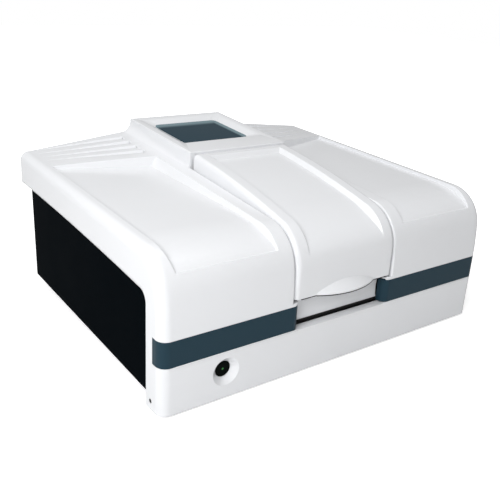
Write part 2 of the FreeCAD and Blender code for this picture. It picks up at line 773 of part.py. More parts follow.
def lid_top_edges(inset):
    """Outer line of the lid: upright front, brow, crown and the roll round the hinge."""
    turn = math.radians(LID_CROWN_DEG)
    start = lid_brow_end(0.0)
    roll = point(HINGE_Y, HINGE_Z)
    normal = point(math.sin(turn), -math.cos(turn))
    reach = start - roll
    crown_r = (HINGE_ROLL ** 2 - reach.dot(reach)) / (2.0 * (reach.dot(normal) + HINGE_ROLL))
    crown_centre = start + normal * crown_r
    away = roll - crown_centre
    end_deg = math.degrees(math.atan2(away.z, away.y))
    front = LID_FRONT_Y + inset
    return [
        segment(point(front, LID_BOTTOM_Z - inset), point(front, BROW_Z)),
        arc(BROW_Y, BROW_Z, LID_BROW - inset, 180.0, 90.0 + LID_CROWN_DEG),
        arc(crown_centre.y, crown_centre.z, crown_r - inset, 90.0 + LID_CROWN_DEG, end_deg),
        arc(HINGE_Y, HINGE_Z, HINGE_ROLL - inset, end_deg, 0.0),
    ]


def ledge_edges(drop, rear_y, low_z):
    """Line that runs round the well at one depth under the edge of the wings."""
    brow = arc(BROW_Y, BROW_Z, BROW_RADIUS - drop, 180.0, 90.0 + INNER_SLOPE_DEG)
    ends = brow.Vertexes
    return [
        segment(point(BROW_Y - BROW_RADIUS + drop, low_z), ends[0].Point),
        brow,
        segment(ends[-1].Point, point(rear_y, top_of_slope(rear_y, INNER_SLOPE_DEG, drop))),
    ]


def ledge_strip(drop, thick, half, rear_y, low_z):
    """Band of even thickness that follows the ledge, right across the well."""
    outer = ledge_edges(drop, rear_y, low_z)
    inner = ledge_edges(drop + thick, rear_y, low_z)
    caps = [
        segment(outer[0].Vertexes[0].Point, inner[0].Vertexes[0].Point),
        segment(outer[2].Vertexes[-1].Point, inner[2].Vertexes[-1].Point),
    ]
    return slab(outer + inner + caps, -half, half)


def lid_form():
    """Lid as a solid, with round edges along its outer line."""
    top = lid_top_edges(0.0)
    under = ledge_edges(LID_SIDE_DROP, LID_REAR_Y, LID_BOTTOM_Z)
    rest = [
        segment(point(LID_FRONT_Y, LID_BOTTOM_Z), under[0].Vertexes[0].Point),
        segment(under[2].Vertexes[-1].Point, point(LID_REAR_Y, HINGE_Z)),
    ]
    body = slab(top + under + rest, -LID_HALF, LID_HALF)
    for x in (-LID_HALF, LID_HALF):
        outer = edges_on_plane(body, x, lambda c: c.z > lid_mid_z(c.y) or c.y < LID_FRONT_Y + 0.1)
        body = body.makeFillet(LID_EDGE_ROUND, outer)
    return body


def lid_mid_z(y):
    """Height between the outer line of the lid and its underside."""
    if y < BROW_Y:
        reach = BROW_RADIUS - LID_SIDE_DROP / 2.0
        return BROW_Z + math.sqrt(max(0.0, reach ** 2 - (BROW_Y - y) ** 2))
    return top_of_slope(y, INNER_SLOPE_DEG)


def lid_void():
    """Space inside the lid, open below and behind."""
    top = lid_top_edges(LID_WALL)
    low = LID_BOTTOM_Z - LID_WALL
    rear = LID_REAR_Y + 5.0
    end = min((vertex.Point for vertex in top[3].Vertexes), key=lambda p: p.z)
    rest = chain([end, point(rear, HINGE_Z), point(rear, low), point(LID_FRONT_Y + LID_WALL, low)])
    half = LID_HALF - LID_WALL
    body = slab(top + rest, -half, half)
    for x in (-half, half):
        outer = edges_on_plane(body, x, lambda c: c.z > lid_mid_z(c.y) and c.y < HINGE_Y)
        body = body.makeFillet(LID_EDGE_ROUND - LID_WALL, outer)
    return body


def lid_section(inset):
    """Closed outline under the lid's front, brow and crown."""
    top = lid_top_edges(inset)[:3]
    front = top[0].Vertexes[0].Point
    back = max((vertex.Point for vertex in top[2].Vertexes), key=lambda p: p.y)
    return top + chain([back, point(back.y, front.z), front])


def lid_dish(grow):
    """Shallow dish of the lid, which fades into the brow at its front."""
    rise = math.asin((LID_DISH_FADE_Z - BROW_Z) / LID_BROW)
    start = point(BROW_Y - LID_BROW * math.cos(rise) + grow, LID_DISH_FADE_Z - grow)
    crown = lid_top_edges(LID_DISH_DEPTH + grow)[2]
    flat_y = LID_DISH_FLAT_Y
    back_y = LID_DISH_BACK_Y - LID_DISH_DEPTH * math.tan(math.radians(LID_DISH_DRAFT_DEG)) + grow
    ends = []
    for y in (flat_y, (flat_y + back_y) / 2.0, back_y):
        probe = segment(point(y, 0.0), point(y, LID_REAR_Z * 2.0))
        ends.append(crown.distToShape(probe)[1][0][0])
    heading = (ends[1] - ends[0]).normalize()
    pull = 42.0
    fade = bezier([
        start,
        start + point(pull * 0.8 * math.sin(rise), pull * 0.8 * math.cos(rise)),
        ends[0] - heading * pull,
        ends[0],
    ])
    floor = Part.Arc(*ends).toShape()
    height = LID_DISH_DEPTH + 12.0
    back_top = ends[2] + point(height * math.tan(math.radians(LID_DISH_DRAFT_DEG)), height)
    high = LID_REAR_Z + 60.0
    rest = chain([
        ends[2], back_top, point(back_top.y, high), point(-60.0, high), point(-60.0, start.z), start])
    reach = DISH_REACH * math.tan(math.radians(LID_DISH_DRAFT_DEG))
    edge_x = LID_DISH_HALF + grow / math.cos(math.radians(LID_DISH_DRAFT_DEG))
    space = slab([fade, floor] + rest, -edge_x - reach, edge_x + reach)
    wall = flank(lid_section, edge_x, LID_DISH_DRAFT_DEG, LID_DISH_DEPTH + grow + 4.0, -1.0)
    return space.cut([wall, mirrored(wall)])


def lid_lip():
    """Finger lip: a cone that swells out of the lid's front and is hollow underneath."""
    radius = (LIP_HALF ** 2 + LIP_REACH ** 2) / (2.0 * LIP_REACH)
    centre = Vector(0, LID_FRONT_Y - LIP_REACH + radius, LID_BOTTOM_Z)
    rim = Part.makeCylinder(radius, LIP_EDGE, centre)
    cone_base = centre + Vector(0, 0, LIP_EDGE)
    cone = Part.makeCone(radius, radius - LIP_REACH, LIP_RISE, cone_base)
    under = Part.makeCone(radius - LID_WALL, radius - LIP_REACH - LID_WALL, LIP_RISE,
                          centre - Vector(0, 0, LIP_EDGE * 0.4))
    front = box(-LIP_HALF - 5.0, LIP_HALF + 5.0, -LIP_REACH * 2.0, LID_FRONT_Y + LID_WALL / 2.0,
                LID_BOTTOM_Z, LID_BOTTOM_Z + LIP_RISE * 2.0)
    hollow = under.common(box(-LIP_HALF, LIP_HALF, -LIP_REACH * 2.0, LID_FRONT_Y,
                              LID_BOTTOM_Z - LIP_EDGE, LID_BOTTOM_Z + LIP_RISE))
    return rim.fuse(cone).common(front).cut(hollow)


def lid_shell():
    """Outer shell of the compartment lid."""
    void = lid_void().cut(lid_dish(LID_WALL))
    notch = box(BRACKET_X - RUN_GAP * 2.0, BRACKET_X + BRACKET_THICK + RUN_GAP * 2.0,
                HINGE_Y, LID_REAR_Y + 1.0, HINGE_Z - 1.0, HINGE_Z + HINGE_ROLL * 0.8)
    shell = lid_form().cut(void).cut([lid_dish(0.0), notch, mirrored(notch)])
    return fused([shell, lid_lip()])


def lid_liner():
    """Dark inner plate of the lid, which closes on the seal."""
    half = LID_HALF - LID_WALL
    rear = TUB_REAR_Y + SEAL_WIDTH + 3.0
    liner = ledge_strip(LINER_DROP, LINER_THICK, half, rear, LID_BOTTOM_Z + 1.0)
    return liner.makeFillet(4.0, [e for e in liner.Edges if e.BoundBox.YMin > rear - 1.0
                                  and e.BoundBox.XLength < 0.01 and e.Length < LINER_THICK * 1.5])


def lid_seal():
    """Foam seal on the rim of the sample compartment."""
    half = TUB_HALF + 1.5 + SEAL_WIDTH
    strip = ledge_strip(SEAL_DROP, SEAL_THICK, half, TUB_REAR_Y + 1.0 + SEAL_WIDTH, LID_BOTTOM_Z)
    mouth = box(-TUB_HALF - 1.5, TUB_HALF + 1.5, -10.0, TUB_REAR_Y + 1.0, LID_BOTTOM_Z + SEAL_WIDTH, 400.0)
    return strip.cut(mouth)


def hinge_arms():
    """Arms under the lid that turn on the hinge pins."""
    arm = slab(lid_void_profile(), ARM_X, ARM_X + ARM_THICK)
    arm = arm.common(box(ARM_X, ARM_X + ARM_THICK, HINGE_Y - ARM_LENGTH, HINGE_Y,
                         HINGE_Z - KNUCKLE_R, LID_REAR_Z))
    knuckle = rod(KNUCKLE_R, (ARM_X, HINGE_Y, HINGE_Z), (ARM_X + ARM_THICK, HINGE_Y, HINGE_Z))
    bore = rod(HINGE_PIN_R + SHAFT_GAP, (0, HINGE_Y, HINGE_Z), (LID_HALF, HINGE_Y, HINGE_Z))
    arm = arm.fuse(knuckle).cut([bore, lid_dish(LID_WALL)]).removeSplitter()
    return Part.makeCompound([arm, mirrored(arm)])


def lid_void_profile():
    """Edges of the lid's inner profile, for what fits under its crown."""
    top = lid_top_edges(LID_WALL)
    low = HINGE_Z - 60.0
    tail = max((v.Point for v in top[3].Vertexes), key=lambda p: p.y)
    head = top[1].Vertexes[0].Point
    if top[1].Vertexes[-1].Point.y < head.y:
        head = top[1].Vertexes[-1].Point
    return top[1:] + chain([tail, point(tail.y, low), point(head.y, low), head])


def hinge_brackets():
    """Brackets that stand on the compartment's rim and hold the hinge pins."""
    foot_z = top_of_slope(HINGE_Y - BRACKET_HALF, INNER_SLOPE_DEG, FLANGE_DROP)
    x0 = BRACKET_X
    x1 = BRACKET_X + BRACKET_THICK
    plate = box(x0, x1, HINGE_Y - BRACKET_HALF, HINGE_Y + BRACKET_HALF, foot_z - 10.0, HINGE_Z)
    plate = plate.fuse(rod(BRACKET_HALF, (x0, HINGE_Y, HINGE_Z), (x1, HINGE_Y, HINGE_Z)))
    foot = box(x0, x1 + BRACKET_HALF - 1.0, HINGE_Y - BRACKET_HALF, HINGE_Y + BRACKET_HALF,
               foot_z - 10.0, foot_z + 1.5)
    under = slab(
        ledge_edges(FLANGE_DROP, TOWER_FRONT_Y, LID_BOTTOM_Z)
        + chain([
            point(TOWER_FRONT_Y, top_of_slope(TOWER_FRONT_Y, INNER_SLOPE_DEG, FLANGE_DROP)),
            point(TOWER_FRONT_Y, LID_BOTTOM_Z),
            point(BROW_Y - BROW_RADIUS + FLANGE_DROP, LID_BOTTOM_Z),
        ]), 0.0, LID_HALF)
    bore = rod(HINGE_PIN_R, (0, HINGE_Y, HINGE_Z), (LID_HALF, HINGE_Y, HINGE_Z))
    bracket = plate.fuse(foot).cut([under, bore]).removeSplitter()
    return Part.makeCompound([bracket, mirrored(bracket)])


def hinge_pins():
    """Pins of the lid's hinge."""
    pin = rod(HINGE_PIN_R, (ARM_X - 1.5, HINGE_Y, HINGE_Z),
              (BRACKET_X + BRACKET_THICK + 1.5, HINGE_Y, HINGE_Z))
    return Part.makeCompound([pin, mirrored(pin)])


def sample_compartment():
    """Dark tub under the lid: walls with a rim that follows the wings, a floor plate and its legs."""
    outer_half = TUB_HALF + TUB_WALL
    rim_rear = LID_REAR_Y - 1.0
    tall = slab(
        ledge_edges(FLANGE_DROP, TUB_REAR_Y + TUB_WALL, LID_BOTTOM_Z)
        + chain([
            point(TUB_REAR_Y + TUB_WALL,
                  top_of_slope(TUB_REAR_Y + TUB_WALL, INNER_SLOPE_DEG, FLANGE_DROP)),
            point(TUB_REAR_Y + TUB_WALL, LID_BOTTOM_Z),
            point(BROW_Y - BROW_RADIUS + FLANGE_DROP, LID_BOTTOM_Z),
        ]), -outer_half, outer_half)
    low = box(-outer_half, outer_half, TUB_FRONT_Y, TUB_REAR_Y + TUB_WALL, TUB_BOTTOM_Z, LID_BOTTOM_Z)
    rim = ledge_strip(FLANGE_DROP, TUB_WALL, WELL_HALF - RUN_GAP, rim_rear, LID_BOTTOM_Z)
    sill = box(-outer_half, outer_half, BROW_Y - BROW_RADIUS + FLANGE_DROP, TUB_FRONT_Y + TUB_WALL,
               LID_BOTTOM_Z - TUB_WALL, LID_BOTTOM_Z)
    body = fused([tall, low, rim, sill])
    inner = box(-TUB_HALF, TUB_HALF, TUB_FRONT_Y + TUB_WALL, TUB_REAR_Y, TUB_BOTTOM_Z - 1.0,
                LID_BOTTOM_Z + 1.0)
    mouth = box(-TUB_HALF, TUB_HALF, -10.0, TUB_REAR_Y, LID_BOTTOM_Z, LID_REAR_Z + 50.0)
    body = body.cut([inner, mouth])
    ports = []
    for y in (SAMPLE_Y, REFERENCE_Y):
        ports.append(rod(BEAM_PORT_R, (-LID_HALF, y, BEAM_Z), (LID_HALF, y, BEAM_Z)))
    body = body.cut(ports)
    floor = box(-TUB_HALF, TUB_HALF, TUB_FRONT_Y + TUB_WALL, TUB_REAR_Y, TUB_BOTTOM_Z, TUB_FLOOR_Z)
    legs = []
    for x in (-TUB_HALF + 16.0, TUB_HALF - 16.0):
        for y in (TUB_FRONT_Y + 30.0, TUB_REAR_Y - 26.0):
            legs.append(rod(TUB_LEG_RADIUS, (x, y, BENCH_TOP_Z), (x, y, TUB_BOTTOM_Z)))
    return Part.makeCompound([body, floor] + legs)


def beam_windows():
    """Quartz windows in the side walls of the compartment."""
    discs = []
    for x in (-TUB_HALF - TUB_WALL, TUB_HALF):
        for y in (SAMPLE_Y, REFERENCE_Y):
            discs.append(rod(BEAM_PORT_R, (x, y, BEAM_Z), (x + TUB_WALL, y, BEAM_Z)))
    return Part.makeCompound(discs)


def window_rings():
    """Rings that clamp the quartz windows from inside the compartment."""
    rings = []
    for x in (-TUB_HALF, TUB_HALF - RING_THICK):
        for y in (SAMPLE_Y, REFERENCE_Y):
            rings.append(tube(RING_R, RING_BORE_R, (x, y, BEAM_Z), (x + RING_THICK, y, BEAM_Z)))
    return Part.makeCompound(rings)


def cell_holder(y):
    """Block that holds one cuvette upright in the beam."""
    half = HOLDER_WIDTH / 2.0
    base = TUB_FLOOR_Z + HOLDER_BASE_THICK
    top = base + HOLDER_HEIGHT
    block = rounded_plate(-half, half, y - half, y + half, base, top, 3.0)
    slot_half = CELL_SLOT / 2.0
    slot = box(-slot_half, slot_half, y - slot_half, y + slot_half, top - CELL_DEPTH, top + 1.0)
    beam = rod(CELL_WINDOW_R, (-half - 1.0, y, BEAM_Z), (half + 1.0, y, BEAM_Z))
    grip = half - 6.0
    front = box(-slot_half, slot_half, y - half - 1.0, y - slot_half, top - grip, top + 1.0)
    return block.cut([slot, beam, front])


def holder_base():
    """Plate on the floor of the compartment that places both cell holders."""
    edge = HOLDER_WIDTH / 2.0 + 16.0
    return rounded_plate(
        -HOLDER_BASE_HALF, HOLDER_BASE_HALF, SAMPLE_Y - edge, REFERENCE_Y + edge,
        TUB_FLOOR_Z, TUB_FLOOR_Z + HOLDER_BASE_THICK, 8.0)


def holder_screws():
    """Knurled thumb screws of the holder base."""
    screws = []
    base = TUB_FLOOR_Z + HOLDER_BASE_THICK
    middle = (SAMPLE_Y + REFERENCE_Y) / 2.0
    for x in (-HOLDER_BASE_HALF + 14.0, HOLDER_BASE_HALF - 14.0):
        knob = rod(8.0, (x, middle, base), (x, middle, base + 10.0))
        rim = [edge for edge in knob.Edges if edge.BoundBox.ZLength < 0.01]
        screws.append(knob.makeChamfer(1.0, rim))
    return Part.makeCompound(screws)


def front_plate():
    """Pale plate at the back of the centre recess, hollow in its height."""
    low = LEDGE_Z + FRONT_SLOT
    high = LID_BOTTOM_Z - TUB_WALL - TRIM_GAP
    middle = (low + high) / 2.0
    y = FRONT_PLATE_Y
    front = Part.Arc(point(y, low), point(y + FRONT_PLATE_BOW, middle), point(y, high)).toShape()
    back_y = TUB_FRONT_Y
    rest = chain([point(y, high), point(back_y, high), point(back_y, low), point(y, low)])
    return slab([front] + rest, -RECESS_X + TRIM_GAP, RECESS_X - TRIM_GAP)


def tower_window():
    """Dark window in the floor of the tower's recess."""
    return window_plate(TRIM_GAP, RECESS_DEPTH - WINDOW_THICK, WINDOW_THICK)


def power_button():
    """Round push button at the bottom of its bowl."""
    radius = BUTTON_R - RUN_GAP
    y = BUTTON_DEPTH
    cap = rod(radius, (BUTTON_X, y, BUTTON_Z), (BUTTON_X, y + 4.0, BUTTON_Z))
    face = [e for e in cap.Edges if e.BoundBox.YMax < y + 0.01]
    cap = cap.makeFillet(1.2, face)
    stem = rod(BUTTON_STEM_R, (BUTTON_X, y + 4.0, BUTTON_Z), (BUTTON_X, y + 13.0, BUTTON_Z))
    eye = rod(INDICATOR_R, (BUTTON_X, y - 1.0, BUTTON_Z), (BUTTON_X, y + 2.0, BUTTON_Z))
    return cap.fuse(stem).cut(eye).removeSplitter()


def power_indicator():
    """Green light in the middle of the button."""
    y = BUTTON_DEPTH
    return rod(INDICATOR_R, (BUTTON_X, y + 0.2, BUTTON_Z), (BUTTON_X, y + 2.0, BUTTON_Z))


def power_switch():
    """Switch behind the button, on the end of the bowl's guide."""
    y = BUTTON_DEPTH + 6.0
    body_y = y + BUTTON_TRAVEL + RUN_GAP
    half = SWITCH_SIZE / 2.0
    body = box(BUTTON_X - half, BUTTON_X + half, body_y, body_y + SWITCH_DEPTH,
               BUTTON_Z - half, BUTTON_Z + half)
    collar = tube(BUTTON_R + WALL, BUTTON_R + RUN_GAP, (BUTTON_X, y, BUTTON_Z), (BUTTON_X, body_y, BUTTON_Z))
    bore = rod(BUTTON_STEM_R + RUN_GAP, (BUTTON_X, y, BUTTON_Z), (BUTTON_X, body_y + 8.0, BUTTON_Z))
    flange = rod(BUTTON_R + WALL, (BUTTON_X, body_y, BUTTON_Z), (BUTTON_X, body_y + 1.5, BUTTON_Z))
    return fused([body, flange, collar]).cut(bore)


def base_pan():
    """Folded tray that carries everything, with lugs for the bezel's screws."""
    top = PANEL_BOTTOM_Z + PAN_FLANGE
    front = WALL + 0.5
    rear = CHASSIS_DEPTH - PANEL_THICK
    corner = EDGE_ROUND - WALL + 1.0
    outer = rounded_plate(-PAN_X, PAN_X, front, rear, PANEL_BOTTOM_Z, top, corner)
    inner = rounded_plate(
        -PAN_X + PAN_THICK, PAN_X - PAN_THICK, front + PAN_THICK, rear - PAN_THICK,
        PANEL_BOTTOM_Z + PAN_THICK, top + 1.0, corner - PAN_THICK)
    bowl = rod(BUTTON_RIM_R + WALL + 1.0, (BUTTON_X, 0.0, BUTTON_Z), (BUTTON_X, front + 12.0, BUTTON_Z))
    bowl = bowl.common(box(-PAN_X, PAN_X, 0.0, 20.0, PANEL_BOTTOM_Z + PAN_THICK, top + 1.0))
    lugs = []
    for side in (-1.0, 1.0):
        x0, x1 = sorted((side * (PAN_X - 10.0), side * PAN_X))
        lug = box(x0, x1, SCREW_Y - 7.0, SCREW_Y + 7.0, SCREW_Z - 7.0, PANEL_BOTTOM_Z + 1.0)
        shank = rod(2.0, (x0 - 1.0, SCREW_Y, SCREW_Z), (x1 + 1.0, SCREW_Y, SCREW_Z))
        lugs.append(lug.cut(shank))
    return fused([outer.cut([inner, bowl])] + lugs)


def bezel_screws():
    """Socket screws that hold the bezel to the lugs of the pan."""
    screws = []
    for side in (-1.0, 1.0):
        seat = side * (HALF - SCREW_SINK)
        head = rod(SCREW_HEAD_R, (seat, SCREW_Y, SCREW_Z), (side * (HALF - 0.2), SCREW_Y, SCREW_Z))
        socket = rod(1.6, (side * (HALF - 1.1), SCREW_Y, SCREW_Z), (side * HALF, SCREW_Y, SCREW_Z))
        shank = rod(2.0, (seat, SCREW_Y, SCREW_Z), (side * (PAN_X - 10.0), SCREW_Y, SCREW_Z))
        screws.append(head.fuse(shank).cut(socket).removeSplitter())
    return Part.makeCompound(screws)


def side_panel(side):
    """Dark side panel with its top edge folded inwards."""
    front = BEZEL_RETURN - 7.5
    x0, x1 = sorted((side * PAN_X, side * PANEL_X))
    sheet = box(x0, x1, front, CHASSIS_DEPTH, PANEL_BOTTOM_Z, PANEL_TOP_Z)
    x2, x3 = sorted((side * (PANEL_X - PANEL_FLANGE), side * PANEL_X))
    fold = box(x2, x3, front, CHASSIS_DEPTH - PANEL_THICK - TRIM_GAP,
               PANEL_TOP_Z - PANEL_THICK, PANEL_TOP_Z)
    return fused([sheet, fold])


def rear_panel():
    """Dark rear panel with the openings for the fan, the inlet, the port and the vents."""
    rear = CHASSIS_DEPTH
    front = rear - PANEL_THICK
    sheet = box(-PAN_X, PAN_X, front, rear, PANEL_BOTTOM_Z, PANEL_TOP_Z)
    top_x = PAN_X - PANEL_FLANGE * 2.0
    sheet = sheet.fuse(box(-top_x, top_x, front, rear, PANEL_TOP_Z, REAR_PANEL_TOP_Z))
    fold = box(-top_x, top_x, front - PANEL_FLANGE, rear,
               REAR_PANEL_TOP_Z - PANEL_THICK, REAR_PANEL_TOP_Z)
    cuts = [rod(FAN_SWEEP_R + 1.0, (FAN_X, front - 1.0, FAN_Z), (FAN_X, rear + 1.0, FAN_Z))]
    half = INLET_WIDTH / 2.0
    cuts.append(box(INLET_X - half, INLET_X + half, front - 1.0, rear + 1.0,
                    INLET_Z - INLET_HEIGHT / 2.0, INLET_Z + INLET_HEIGHT / 2.0))
    cuts.append(box(PORT_X - 10.0, PORT_X + 10.0, front - 1.0, rear + 1.0, PORT_Z - 6.0, PORT_Z + 6.0))
    for index in range(VENT_SLOTS):
        x = (index - (VENT_SLOTS - 1) / 2.0) * VENT_PITCH
        cuts.append(box(x - 2.0, x + 2.0, front - 1.0, rear + 1.0, 170.0, 220.0))
    return fused([sheet, fold]).cut(cuts)


def rubber_feet():
    """Feet under the pan."""
    feet = []
    for x in (-HALF + FOOT_INSET_X, HALF - FOOT_INSET_X):
        for y in (FOOT_FRONT_Y, FOOT_REAR_Y):
            feet.append(Part.makeCone(FOOT_RADIUS - 2.0, FOOT_RADIUS, PANEL_BOTTOM_Z, Vector(x, y, 0)))
    return Part.makeCompound(feet)


def optical_bench():
    """Cast plate with pockets between its ribs."""
    plate = rounded_plate(-BENCH_HALF, BENCH_HALF, BENCH_FRONT_Y, BENCH_REAR_Y, BENCH_Z, BENCH_TOP_Z, 12.0)
    pockets = []
    columns = 6
    rows = 4
    rib = 8.0
    margin = 34.0
    step_x = (BENCH_HALF - margin) * 2.0 / columns
    step_y = (BENCH_REAR_Y - BENCH_FRONT_Y - margin * 2.0) / rows
    for column in range(columns):
        for row in range(rows):
            x = -BENCH_HALF + margin + column * step_x
            y = BENCH_FRONT_Y + margin + row * step_y
            pockets.append(box(x + rib / 2.0, x + step_x - rib / 2.0, y + rib / 2.0, y + step_y - rib / 2.0,
                               BENCH_Z - 1.0, BENCH_TOP_Z - BENCH_SKIN))
    return plate.cut(pockets)


def bench_mounts():
    """Rubber mounts between the pan and the bench."""
    mounts = []
    low = PANEL_BOTTOM_Z + PAN_THICK
    for x in (-BENCH_HALF + 17.0, BENCH_HALF - 17.0):
        for y in (BENCH_FRONT_Y + 17.0, BENCH_REAR_Y - 17.0):
            mounts.append(rod(MOUNT_RADIUS, (x, y, low), (x, y, BENCH_Z)))
    return Part.makeCompound(mounts)


def cover_posts():
    """Posts on the bench that carry the casing at the foot of the tower."""
    posts = []
    for x in (-POST_X, POST_X):
        post = rod(POST_R, (x, POST_Y, BENCH_TOP_Z), (x, POST_Y, TOWER_FRONT_Z + 20.0))
        ceiling = tower_body(TOWER_HALF - WALL, WALL).fuse(
            box(-TOWER_HALF, TOWER_HALF, TOWER_FRONT_Y, DEPTH, 0.0, SKIRT_REAR_Z))
        posts.append(post.common(ceiling).removeSplitter())
    return Part.makeCompound(posts)


def fan_frame():
    """Square frame of the fan, with the three arms that hold its motor."""
    half = FAN_SIZE / 2.0
    rear = CHASSIS_DEPTH - PANEL_THICK
    front = rear - FAN_DEPTH
    block = box(FAN_X - half, FAN_X + half, front, rear, FAN_Z - half, FAN_Z + half)
    throat = rod(FAN_SWEEP_R + 1.5, (FAN_X, front - 1.0, FAN_Z), (FAN_X, rear + 1.0, FAN_Z))
    body = block.cut(throat)
    holes = []
    for x in (-1.0, 1.0):
        for z in (-1.0, 1.0):
            where = (FAN_X + x * (half - 4.5), FAN_Z + z * (half - 4.5))
            holes.append(rod(2.0, (where[0], front - 1.0, where[1]), (where[0], rear + 1.0, where[1])))
    body = body.cut(holes)
    arms = [rod(FAN_HUB_R, (FAN_X, front, FAN_Z), (FAN_X, front + 3.0, FAN_Z))]
    for index in range(3):
        arm = box(-2.5, 2.5, front, front + 3.0, 0.0, FAN_SWEEP_R + 2.5)
        arm.rotate(Vector(0, 0, 0), Vector(0, 1, 0), 120.0 * index)
        arm.translate(Vector(FAN_X, 0, FAN_Z))
        arms.append(arm)
    bore = rod(SHAFT_R + SHAFT_GAP, (FAN_X, front - 1.0, FAN_Z), (FAN_X, front + 4.0, FAN_Z))
    return fused([body] + arms).cut(bore)


def fan_rotor():
    """Hub of the fan with its pitched blades and its shaft."""
    rear = CHASSIS_DEPTH - PANEL_THICK - 2.0
    front = CHASSIS_DEPTH - PANEL_THICK - FAN_DEPTH + 4.0
    hub = rod(FAN_HUB_R, (FAN_X, front, FAN_Z), (FAN_X, rear, FAN_Z))
    shaft = rod(SHAFT_R, (FAN_X, front - 4.0, FAN_Z), (FAN_X, front, FAN_Z))
    blades = [hub, shaft]
    middle = (front + rear) / 2.0
    for index in range(FAN_BLADES):
        blade = box(-9.0, 9.0, -0.8, 0.8, FAN_HUB_R - 3.0, FAN_SWEEP_R - 0.5)
        blade.rotate(Vector(0, 0, 0), Vector(0, 0, 1), 38.0)
        blade.translate(Vector(0, middle, 0))
        blade.rotate(Vector(0, 0, 0), Vector(0, 1, 0), 360.0 / FAN_BLADES * index)
        blade.translate(Vector(FAN_X, 0, FAN_Z))
        blades.append(blade)
    return fused(blades)


def fan_guard():
    """Finger guard over the fan, on the outside of the rear panel."""
    rear = CHASSIS_DEPTH
    back = rear + 2.0
    pieces = []
    for radius in (8.0, 18.0, 28.0, FAN_SWEEP_R + 2.0):
        pieces.append(tube(radius + 0.8, radius - 0.8, (FAN_X, rear, FAN_Z), (FAN_X, back, FAN_Z)))
    for turn in (45.0, 135.0):
        spoke = box(-FAN_SIZE * 0.62, FAN_SIZE * 0.62, rear, back, -1.0, 1.0)
        spoke.rotate(Vector(0, 0, 0), Vector(0, 1, 0), turn)
        spoke.translate(Vector(FAN_X, 0, FAN_Z))
        pieces.append(spoke)
    return fused(pieces)


def mains_inlet():
    """Mains socket in the rear panel, with its pins and the bay of the fuse drawer."""
    half = INLET_WIDTH / 2.0
    top = INLET_HEIGHT / 2.0
    rear = CHASSIS_DEPTH
    body = box(INLET_X - half + TRIM_GAP, INLET_X + half - TRIM_GAP, rear - INLET_BODY, rear,
               INLET_Z - top + TRIM_GAP, INLET_Z + top - TRIM_GAP)
    collar = box(INLET_X - half - 3.0, INLET_X + half + 3.0, rear, rear + 3.0,
                 INLET_Z - top - 3.0, INLET_Z + top + 3.0)
    rim = [edge for edge in collar.Edges if edge.BoundBox.YMin > rear + 2.9]
    body = body.fuse(collar.makeChamfer(1.0, rim))
    width = SOCKET_WIDTH / 2.0
    height = SOCKET_HEIGHT / 2.0
    back = rear + 3.0
    socket = box(INLET_X - width, INLET_X + width, back - SOCKET_DEPTH, back + 1.0,
                 SOCKET_Z - height, SOCKET_Z + height)
    bay_x = FUSE_WIDTH / 2.0 + RUN_GAP
    bay_z = FUSE_HEIGHT / 2.0 + RUN_GAP
    bay = box(INLET_X - bay_x, INLET_X + bay_x, back - FUSE_DEPTH - RUN_GAP, back + 1.0,
              FUSE_Z - bay_z, FUSE_Z + bay_z)
    body = body.cut([socket, bay])
    pins = []
    for x, z in ((-7.0, -2.0), (7.0, -2.0), (0.0, 2.5)):
        pins.append(box(INLET_X + x - 1.0, INLET_X + x + 1.0, back - SOCKET_DEPTH - 1.0, back - 3.0,
                        SOCKET_Z + z - 2.0, SOCKET_Z + z + 2.0))
    return fused([body] + pins)


def fuse_drawer():
    """Drawer with the two fuses, above the mains socket."""
    back = CHASSIS_DEPTH + 3.0
    half = FUSE_WIDTH / 2.0
    height = FUSE_HEIGHT / 2.0
    body = box(INLET_X - half, INLET_X + half, back - FUSE_DEPTH, back, FUSE_Z - height, FUSE_Z + height)
    trays = []
    for x in (-6.0, 6.0):
        trays.append(box(INLET_X + x - 3.5, INLET_X + x + 3.5, back - FUSE_DEPTH + 2.0, back - 3.0,
                         FUSE_Z - 1.5, FUSE_Z + height + 1.0))
    grip = box(INLET_X - 5.0, INLET_X + 5.0, back - 1.5, back + 1.0, FUSE_Z - 1.0, FUSE_Z + 1.5)
    return body.cut(trays + [grip])


def data_port():
    """Square data socket in the rear panel."""
    rear = CHASSIS_DEPTH
    shell = box(PORT_X - PORT_HALF_X + TRIM_GAP, PORT_X + PORT_HALF_X - TRIM_GAP, rear - 18.0, rear,
                PORT_Z - PORT_HALF_Z + TRIM_GAP, PORT_Z + PORT_HALF_Z - TRIM_GAP)
    flange = box(PORT_X - PORT_HALF_X - 2.0, PORT_X + PORT_HALF_X + 2.0, rear, rear + 1.5,
                 PORT_Z - PORT_HALF_Z - 2.0, PORT_Z + PORT_HALF_Z + 2.0)
    hole = box(PORT_X - 7.0, PORT_X + 7.0, rear - 12.0, rear + 2.0, PORT_Z - 4.0, PORT_Z + 4.0)
    tongue = box(PORT_X - 5.0, PORT_X + 5.0, rear - 13.0, rear, PORT_Z - 0.8, PORT_Z + 0.8)
    return fused([shell.fuse(flange).cut(hole), tongue])


def housing(x0, x1, y0, y1, top, wall):
    """Open-topped box on the bench."""
    outer = box(x0, x1, y0, y1, BENCH_TOP_Z, top)
    inner = box(x0 + wall, x1 - wall, y0 + wall, y1 - wall, BENCH_TOP_Z + wall, top + 1.0)
    return outer.cut(inner)


def lid_plate(x0, x1, y0, y1, z, thick):
    """Cover plate with its screws' countersinks."""
    plate = box(x0, x1, y0, y1, z, z + thick)
    sinks = []
    for x in (x0 + 5.0, x1 - 5.0):
        for y in (y0 + 5.0, (y0 + y1) / 2.0, y1 - 5.0):
            sinks.append(Part.makeCone(1.2, 2.6, 1.6, Vector(x, y, z + thick - 1.6)))
    return plate.cut(sinks)


